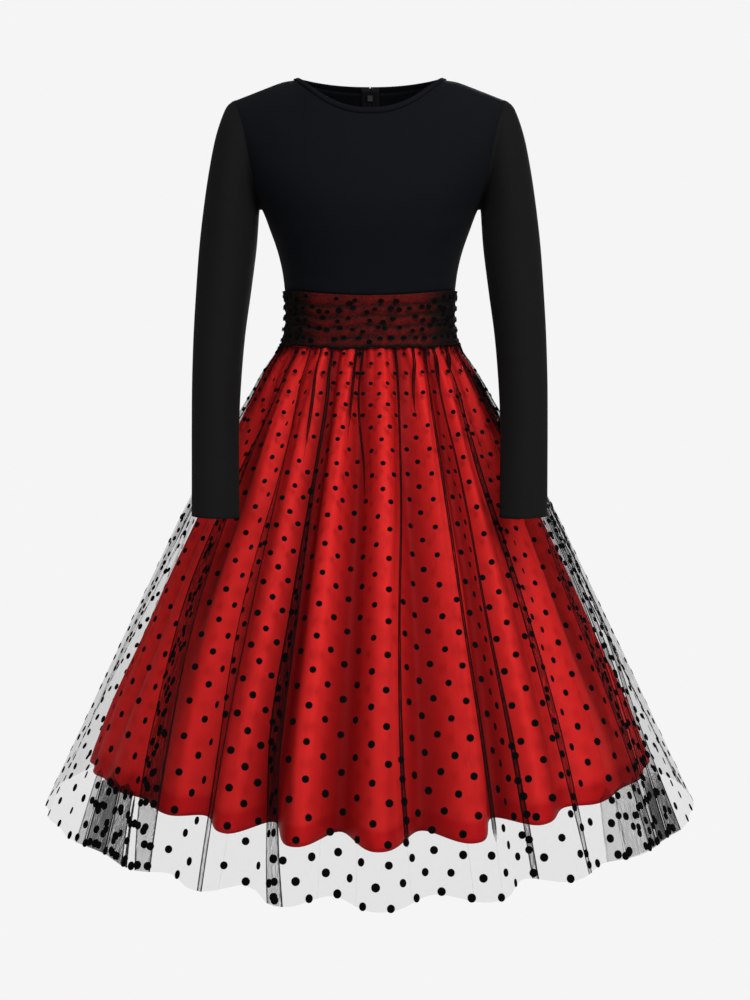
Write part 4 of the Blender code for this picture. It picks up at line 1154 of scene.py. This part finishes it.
def make_neck_binding(knit):
    """Bound edge: a rounded strip folded over the neck, from the zip round to the zip."""
    end = pi - asin(ZIP_HALF_GAP / NECK_HALF_WIDTH)
    points = []
    for angle in steps(-end, end, BINDING_STEPS):
        finished, seam = neck_point(angle, 0.0), neck_point(angle, BINDING_WIDTH)
        before = neck_point(angle - NORMAL_STEP, BINDING_WIDTH / 2)
        after = neck_point(angle + NORMAL_STEP, BINDING_WIDTH / 2)
        outward = (finished - seam).cross(after - before).normalized()
        edge = (finished - seam).normalized()
        middle = (finished + seam) / 2 - outward * (BINDING_DEPTH / 2 - LAYER_GAP)
        half_height = (finished - seam).length / 2
        flattened = BINDING_FLATTENED * abs(sin(angle)) ** BINDING_FLAT_POWER
        half_depth = BINDING_DEPTH / 2 * (1 - flattened)
        points += [
            middle + edge * half_height * corner.up + outward * half_depth * corner.out
            for corner in BINDING_CORNERS
        ]
    rings, sides = BINDING_STEPS + 1, len(BINDING_CORNERS)
    binding = add_piece("neck_binding_cloth", points, solid_faces(rings, sides), knit)
    lay_out_cloth(binding, points, rings, sides)
    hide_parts("neck_binding")


# ---- Waistband ----

def ruche_lift(angle, down):
    """How far the ruched net stands off the satin, and how deep in a fold the place is."""
    shift = sum(wave.swing * sin(wave.turns * angle + wave.phase) for wave in RUCHE_WAVES)
    turn = 2 * pi * RUCHE_FOLDS * (down - 0.5) + shift * sin(pi * down)
    ridge = 0.5 + 0.5 * cos(turn)
    crumple = 0.5 + 0.5 * cos(turn * CRUMPLE_RATE + 5 * sin(5 * angle + 1.0) + 9 * sin(2 * angle))
    edge = abs(2 * down - 1) ** RUCHE_EDGE_POWER
    folds = mix(ridge**RUCHE_SHARPNESS, crumple, CRUMPLE_SHARE)
    height = mix(RUCHE_HEIGHT * folds, RUCHE_EDGE, edge)
    return LAYER_GAP + NET_SOLID + height, (1 - ridge) ** 3 * (1 - edge)


def band_outward(angle, down):
    across = band_point(angle + NORMAL_STEP, down) - band_point(angle - NORMAL_STEP, down)
    low, high = max(down - NORMAL_STEP, 0.0), min(down + NORMAL_STEP, 1.0)
    return across.cross(band_point(angle, low) - band_point(angle, high)).normalized()


def ruched_point(angle, down):
    outward = band_outward(clamp(angle, -pi + 0.01, pi - 0.01), down)
    return band_point(angle, down) + outward * ruche_lift(angle, down)[0]


def panel_angles(panel, step_degrees):
    count = round((panel.end - panel.start) / step_degrees)
    return steps(radians(panel.start) + JUST_INSIDE, radians(panel.end) - JUST_INSIDE, count)


def ruche_density(angle, down):
    """Denser in the folds, and at the side seams, where the ruching is drawn up."""
    folded = RUCHE_FOLD_DENSITY * ruche_lift(angle, down)[1]
    return RUCHE_DENSITY + folded + RUCHE_SIDE_DENSITY * towards_side(angle, RUCHE_SIDES)


def make_waistband(satin, net):
    for panel in PANELS:
        angles, rows = panel_angles(panel, BAND_STEP_DEGREES), steps(0.0, 1.0, BAND_STEPS)
        band = cloth(f"waistband_{panel.name}", band_point, angles, rows, satin, SATIN_WALL)
        set_weights(band, "hem", 0.0)
        # The band's satin takes no painted shade.
        set_weights(band, "trough", 0.0)
        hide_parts(f"waistband_satin_{panel.name}")
        angles, rows = panel_angles(panel, RUCHE_STEP_DEGREES), steps(RUCHE_TOP, 1.0, RUCHE_STEPS)
        ruche = cloth(f"ruched_{panel.name}", ruched_point, angles, rows, net)
        set_weights(ruche, "cover", [ruche_density(angle, down) for down in rows for angle in angles])
        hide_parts(f"waistband_net_{panel.name}")


def make_waist_piping(net):
    """The net's gathered lower edge, turned under into a thick wavy cord round the waist seam."""
    end = pi - asin(ZIP_HALF_GAP / PIPING_HALF_WIDTH)
    path = []
    for angle in steps(-end, end, PIPING_STEPS):
        wave = sum(w.swing * sin(w.turns * 2 * angle + w.phase) for w in RUCHE_WAVES)
        frill = PIPING_FRILL * sin(PIPING_FRILL_TURNS * angle + 3 * sin(5 * angle))
        stand = band_outward(angle, 1.0) * (RUCHE_EDGE + PIPING_RADIUS * PIPING_STAND)
        rise = Vector((0, 0, PIPING_RADIUS * PIPING_RISE + PIPING_SWING * wave + frill))
        path.append(band_point(angle, 1.0) + stand + rise)
    cord = tube("waist_edge", path, PIPING_RADIUS, net)
    set_weights(cord, "cover", CORD_DENSITY)


# ---- Making the skirts ----

def make_underskirt(satin):
    rows = steps(0.0, 1.0, UNDER_STEPS)
    for panel in PANELS:
        angles = panel_angles(panel, UNDER_STEP_DEGREES)
        skirt = cloth(
            f"underskirt_{panel.name}_cloth", underskirt_point, angles, rows, satin, SATIN_WALL
        )
        places = [(angle, down) for down in rows for angle in angles]
        set_weights(skirt, "hem", [turned_up(*place, HEM_TONE_FADE) for place in places])
        # The 'trough' weight carries the painted shade of the fold troughs and gathers.
        set_weights(skirt, "trough", [painted_fold_shade(*place) for place in places])
        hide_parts(f"underskirt_{panel.name}")


def pleat_strength(pleat, down):
    """A pleat fades in and out, but quickly where it starts or ends at the satin's hem."""
    rise = LATE_FADE if pleat.start > LATE_PLEAT else PLEAT_FADE
    fall = LATE_FADE if pleat.end > LATE_PLEAT else 3 * PLEAT_FADE
    rising = 1.0 if pleat.start <= 0 else smooth_step((down - pleat.start) / rise)
    falling = 1.0 if pleat.end >= 1 else smooth_step((pleat.end - down) / fall)
    return rising * falling


def radius_at(angle, down):
    z = mix(waist_bottom(angle), over_hem(angle), down)
    return hypot(column_at(OVER, "half_width", z) * cos(angle), column_at(OVER, "front", z) * sin(angle))


def pleat_at(pleat, down):
    """A pleat's middle, the skirt's radius there, half the pleat's width in metres and its strength."""
    left, right = (radians(smooth_between(PLEAT_PLACES, edge, down)) for edge in (pleat.left, pleat.right))
    middle, strength = (left + right) / 2, pleat_strength(pleat, down)
    radius = radius_at(middle, down)
    width = max((right - left) * radius, PLEAT_NARROWEST)
    return middle, radius, max(width * strength, PLEAT_CLOSED) / 2, strength


def layer_density(pleat, down):
    """How dense its layers are: a long pleat hangs looser below the satin's hem, a side one above it."""
    below = smooth_step((down - HEM_SHOWS) / PLEAT_FADE)
    if pleat.start == 0:
        return pleat.layer * (1 - HEM_LIGHTEN * below)
    if pleat.start < LATE_PLEAT:
        return pleat.layer * (1 - SIDE_LIGHTEN * (1 - below))
    return pleat.layer


def pleat_section(pleat, down):
    """Angle, lift and density of each column of the net across one pleat."""
    middle, radius, half, strength = pleat_at(pleat, down)
    layer, section = layer_density(pleat, down), []
    for step in PLEAT_STEPS:
        beyond, density = step.beyond, NET_DENSITY
        if step.share * beyond <= 0:
            beyond = copysign(min(abs(beyond), EDGE_ROOM * half), beyond)
            density = mix(layer, pleat.edge, step.edge)
        angle = middle + (half * step.share + beyond) / radius
        lift = step.lift * PLEAT_LIFT * max(strength, LEAST_LIFT)
        section.append((angle, lift, mix(NET_DENSITY, density, strength)))
    return section


def overskirt_row(panel, down):
    """Angle, lift and density of each column of the net at one height: plain cloth between its pleats."""
    pleats = PLEATS[panel.name]
    edges = [panel.start, *(pleat.left[3] for pleat in pleats), panel.end]
    end = [(radians(panel.end) - JUST_INSIDE, 0.0, NET_DENSITY)]
    columns, left = [], radians(panel.start) + JUST_INSIDE
    for section, before, after in zip([*(pleat_section(p, down) for p in pleats), end], edges, edges[1:]):
        count = max(2, round((after - before) / OVER_STEP_DEGREES))
        columns += [(angle, 0.0, NET_DENSITY) for angle in steps(left, section[0][0], count)[:-1]]
        columns += section if section is end else section[:-1]
        left = section[-1][0]
    return columns


def gathered_density(angle, down):
    """The net is drawn together along the waist, most of all at the sides, and layered at both edges."""
    gathered = GATHERED_DENSITY * exp(-down / GATHERED_FADE)
    gathered += SIDE_DENSITY * towards_side(angle, GATHERED_SIDES) * exp(-down / SIDE_FADE)
    edge = LEFT_EDGE_DENSITY
    if angle > 0:
        edge = RIGHT_EDGE_DENSITY * smooth_step((HEM_SHOWS - down) / EDGE_FADE_OUT)
    edge *= smooth_step((down - EDGE_START) / EDGE_FADE_IN)
    return gathered + edge * towards_side(angle, EDGE_SIDES)


def make_overskirt(net):
    rows = steps(0.0, 1.0, OVER_STEPS)
    for panel in PANELS:
        points, density = [], []
        for down in rows:
            columns = overskirt_row(panel, down)
            points += [overskirt_point(angle, down, lift) for angle, lift, _ in columns]
            density += [dense + gathered_density(angle, down) for angle, _, dense in columns]
        faces = grid_faces(len(rows), len(columns))
        skirt = add_piece(f"overskirt_{panel.name}_cloth", points, faces, net)
        lay_out_cloth(skirt, points, len(rows), len(columns))
        set_weights(skirt, "cover", density)
        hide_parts(f"overskirt_{panel.name}")
        dots = make_skirt_dots(panel)


# ---- Dots ----

def drift(rng, reach):
    return rng.uniform(-reach, reach)


def dot_rows():
    """Places down the skirt of the rows of dots, further apart towards the hem."""
    length = WAIST_BOTTOM_Z - OVER_HEM_Z
    rows, place = [], DOT_FIRST_ROW * DOT_ROW[0] / length
    while place < 1.0:
        rows.append(place)
        place += mix(*DOT_ROW, place) / length
    return rows


def make_skirt_dots(panel):
    """Staggered dots between the pleats, laid out from the middle of each plain stretch."""
    rng = random.Random(f"dots {panel.name}")
    spots = []
    for number, down in enumerate(dot_rows()):
        standing, edges = [], [radians(panel.start)]
        for pleat in PLEATS[panel.name]:
            middle, radius, half, strength = pleat_at(pleat, down)
            if strength > STANDING_STRENGTH:
                closeness = min(pleat.layer / PLEAT_DOTS_FULL, 1.0) / PLEAT_DOT_SPACING
                standing.append((middle, half / radius, round(half * closeness)))
                edges += [middle - half / radius, middle + half / radius]
        edges.append(radians(panel.end))
        for left, right in zip(edges[::2], edges[1::2]):
            spots += plain_stretch_dots(left, right, down, number, rng)
        for middle, half_turn, count in standing:
            for layer in range(count):
                angle = middle + drift(rng, PLEAT_DOT_REACH) * half_turn
                place = min(down + drift(rng, DOT_ROW[1] / 2), LOWEST_PLEAT_DOT)
                spots.append(dot_spot(angle, place, rng, PLEAT_LIFT * (1 - layer % 3)))
    return add_dots(f"dots_{panel.name}", spots)


def plain_stretch_dots(left, right, down, number, rng):
    middle = (left + right) / 2
    ahead = overskirt_point(middle + RADIUS_STEP, down) - overskirt_point(middle - RADIUS_STEP, down)
    radius = ahead.length / (2 * RADIUS_STEP)
    column = mix(*DOT_COLUMN, down) * (1 + DOT_SIDE_SPREAD * sin(middle) ** 2)
    room = DOT_CLEARANCE * mix(*DOT_RADIUS, down)
    last = int(((right - left) / 2 * radius - room) / column)
    return [
        dot_spot(middle + index * column / radius, down, rng)
        for index in range(-last, last + 1) if (index + number) % 2 == 0
    ]


def dot_spot(angle, down, rng, lift=0.0):
    """Centre, rightward and downward directions and radius of a dot."""
    angle += drift(rng, DOT_JITTER) / OVER[-3].half_width
    down = min(down + drift(rng, DOT_JITTER), LOWEST_DOT)
    right = overskirt_point(angle + DOT_STEP, down, lift) - overskirt_point(angle - DOT_STEP, down, lift)
    below = overskirt_point(angle, down + DOT_STEP, lift) - overskirt_point(angle, down - DOT_STEP, lift)
    right.normalize()
    below = (below - right * below.dot(right)).normalized()
    radius = mix(*DOT_RADIUS, down) * rng.uniform(*DOT_SIZES)
    return overskirt_point(angle, down, lift), right, below, radius


def add_dots(name, spots, squash=1.0):
    """One mesh of round flocked coins, each lying on its spot and showing on both faces."""
    points, faces = [], []
    for centre, right, below, radius in spots:
        faces += solid_faces(2, DOT_SIDES, len(points))
        outward = below.cross(right).normalized() * DOT_THICKNESS
        for height in (-0.5, 0.5):
            points += [
                centre + right * radius * cos(turn) + below * radius * squash * sin(turn) + outward * height
                for turn in turns(DOT_SIDES)
            ]
    return add_piece(name, points, faces, FLOCK, smooth=False)


def make_band_dots():
    """Dots of the ruched net, drawn out of line by its folds."""
    rng = random.Random("band dots")
    spots = []
    for number, down in enumerate(BAND_DOT_ROWS):
        for column in range(BAND_DOT_COLUMNS):
            turn = (column + 0.5 * (number % 2) + drift(rng, BAND_DOT_DRIFT)) / BAND_DOT_COLUMNS
            angle = -pi + 2 * pi * turn
            if abs(abs(angle) - pi) < BAND_DOT_SEAM_ROOM or rng.random() < BAND_DOT_HIDDEN:
                continue
            place = down + drift(rng, BAND_DOT_RISE)
            outward = band_outward(angle, place)
            centre = ruched_point(angle, place) + outward * DOT_THICKNESS * DOT_STAND
            right = Vector((-outward.y, outward.x, 0.0)).normalized()
            radius = BAND_DOT_RADIUS * rng.uniform(*BAND_DOT_SIZES)
            spots.append((centre, right, right.cross(outward), radius))
    return add_dots("dots_waistband", spots, BAND_DOT_SQUASH)


# ---- Zip ----

def make_zip(tape, coil):
    """Woven tapes inside the back panels' edges, and between them a coil of small crossing teeth."""
    heights = steps(ZIP_TOP_Z, ZIP_BOTTOM_Z, TAPE_STEPS)
    for side, sign in SIDES:
        across = sorted([sign * TAPE_WIDTH * share for share in TAPE_SHARES], reverse=True)
        strip = cloth(
            f"zip_tape_{side}_cloth", lambda x, z: back_centre_point(x, z, TAPE_DEPTH),
            across, heights, tape, TAPE_WALL,
        )
        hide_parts(f"zip_tape_{side}")
    points, faces = [], []
    for number in range(int((CHAIN_TOP_Z - ZIP_BOTTOM_Z) / COIL_PITCH)):
        z = CHAIN_TOP_Z - number * COIL_PITCH
        middle = back_centre_point(NEAR_CENTRE, z, TAPE_DEPTH + TAPE_WALL)
        half_tooth = Vector((COIL_HALF_WIDTH, 0, COIL_PITCH * (0.5 if number % 2 else -0.5)))
        faces += solid_faces(2, 4, len(points))
        for end in (middle - half_tooth, middle + half_tooth):
            points += [
                end + Vector((0, COIL_RADIUS * COIL_SQUASH * cos(turn), COIL_RADIUS * sin(turn)))
                for turn in turns(4)
            ]
    chain = add_piece("zip_coil_teeth", points, faces, coil)
    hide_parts("zip_chain")


def dress_metal(metal):
    """The slider and the pull tab keep their solids' shape and take a rubbed black lacquer."""
    for holder in bpy.data.objects:
        if holder.get("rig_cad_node") in ("zip_slider", "zip_pull_tab"):
            for place in holder.material_slots:
                place.material = metal


# ---- Camera, light and floor ----

def make_camera():
    data = bpy.data.cameras.new("camera")
    data.sensor_width = SENSOR_WIDTH
    data.lens = CAMERA_FOCAL_PIXELS * SENSOR_WIDTH / IMAGE_LONG_SIDE
    data.shift_y = CAMERA_SHIFT_Y
    camera = new_object("camera", data)
    camera.location = CAMERA_PLACE
    camera.rotation_euler = (radians(90 - CAMERA_PITCH), 0.0, 0.0)
    bpy.context.scene.camera = camera


def make_lights():
    for box in SOFTBOXES:
        data = bpy.data.lights.new(box.name, "AREA")
        data.shape = "SQUARE"
        data.size = box.size
        data.energy = box.power
        light = new_object(box.name, data)
        light.location = (box.x, box.y, box.z)
        aim = LIGHT_TARGET - light.location
        light.rotation_euler = aim.to_track_quat("-Z", "Y").to_euler()
    world = bpy.data.worlds.new("studio")
    world.use_nodes = True
    nodes, link = world.node_tree.nodes, world.node_tree.links.new
    backdrop, seen = nodes["Background"], nodes.new("ShaderNodeLightPath")
    strength = nodes.new("ShaderNodeMapRange")
    backdrop.inputs["Color"].default_value = BACKGROUND
    strength.inputs["To Min"].default_value = AMBIENT
    link(seen.outputs["Is Camera Ray"], strength.inputs["Value"])
    link(strength.outputs[0], backdrop.inputs["Strength"])
    bpy.context.scene.world = world
    bpy.context.scene.view_settings.view_transform = "Standard"


def make_floor():
    """A plain pale floor of the backdrop's own tone."""
    material = bpy.data.materials.new("floor")
    material.use_nodes = True
    tree = material.node_tree
    tree.nodes.remove(tree.nodes["Principled BSDF"])
    glow = tree.nodes.new("ShaderNodeEmission")
    glow.inputs["Color"].default_value = BACKGROUND
    tree.links.new(glow.outputs[0], tree.nodes["Material Output"].inputs["Surface"])
    rim = [(FLOOR_RADIUS * cos(turn), FLOOR_RADIUS * sin(turn), FLOOR_Z) for turn in turns(FLOOR_SIDES)]
    new_mesh("floor", rim, [tuple(range(FLOOR_SIDES))], material)


FLOCK = flock_material()
black_knit = knit_material("black_knit", (0.0023, 0.0028, 0.004), (0.0016, 0.002, 0.003))
sleeve_knit = knit_material("sleeve_knit", (0.004, 0.004, 0.0041), (0.0033, 0.0033, 0.0034))
red_satin = satin_material()
ruched_net = ruched_material()

make_camera()
make_lights()
make_floor()
make_bodice(black_knit)
make_sleeves(sleeve_knit)
make_seams(black_knit)
make_neck_binding(black_knit)
make_underskirt(red_satin)
make_waistband(red_satin, ruched_net)
make_band_dots()
make_waist_piping(ruched_net)
make_overskirt(net_material())
make_zip(tape_material(), coil_material())
dress_metal(metal_material())
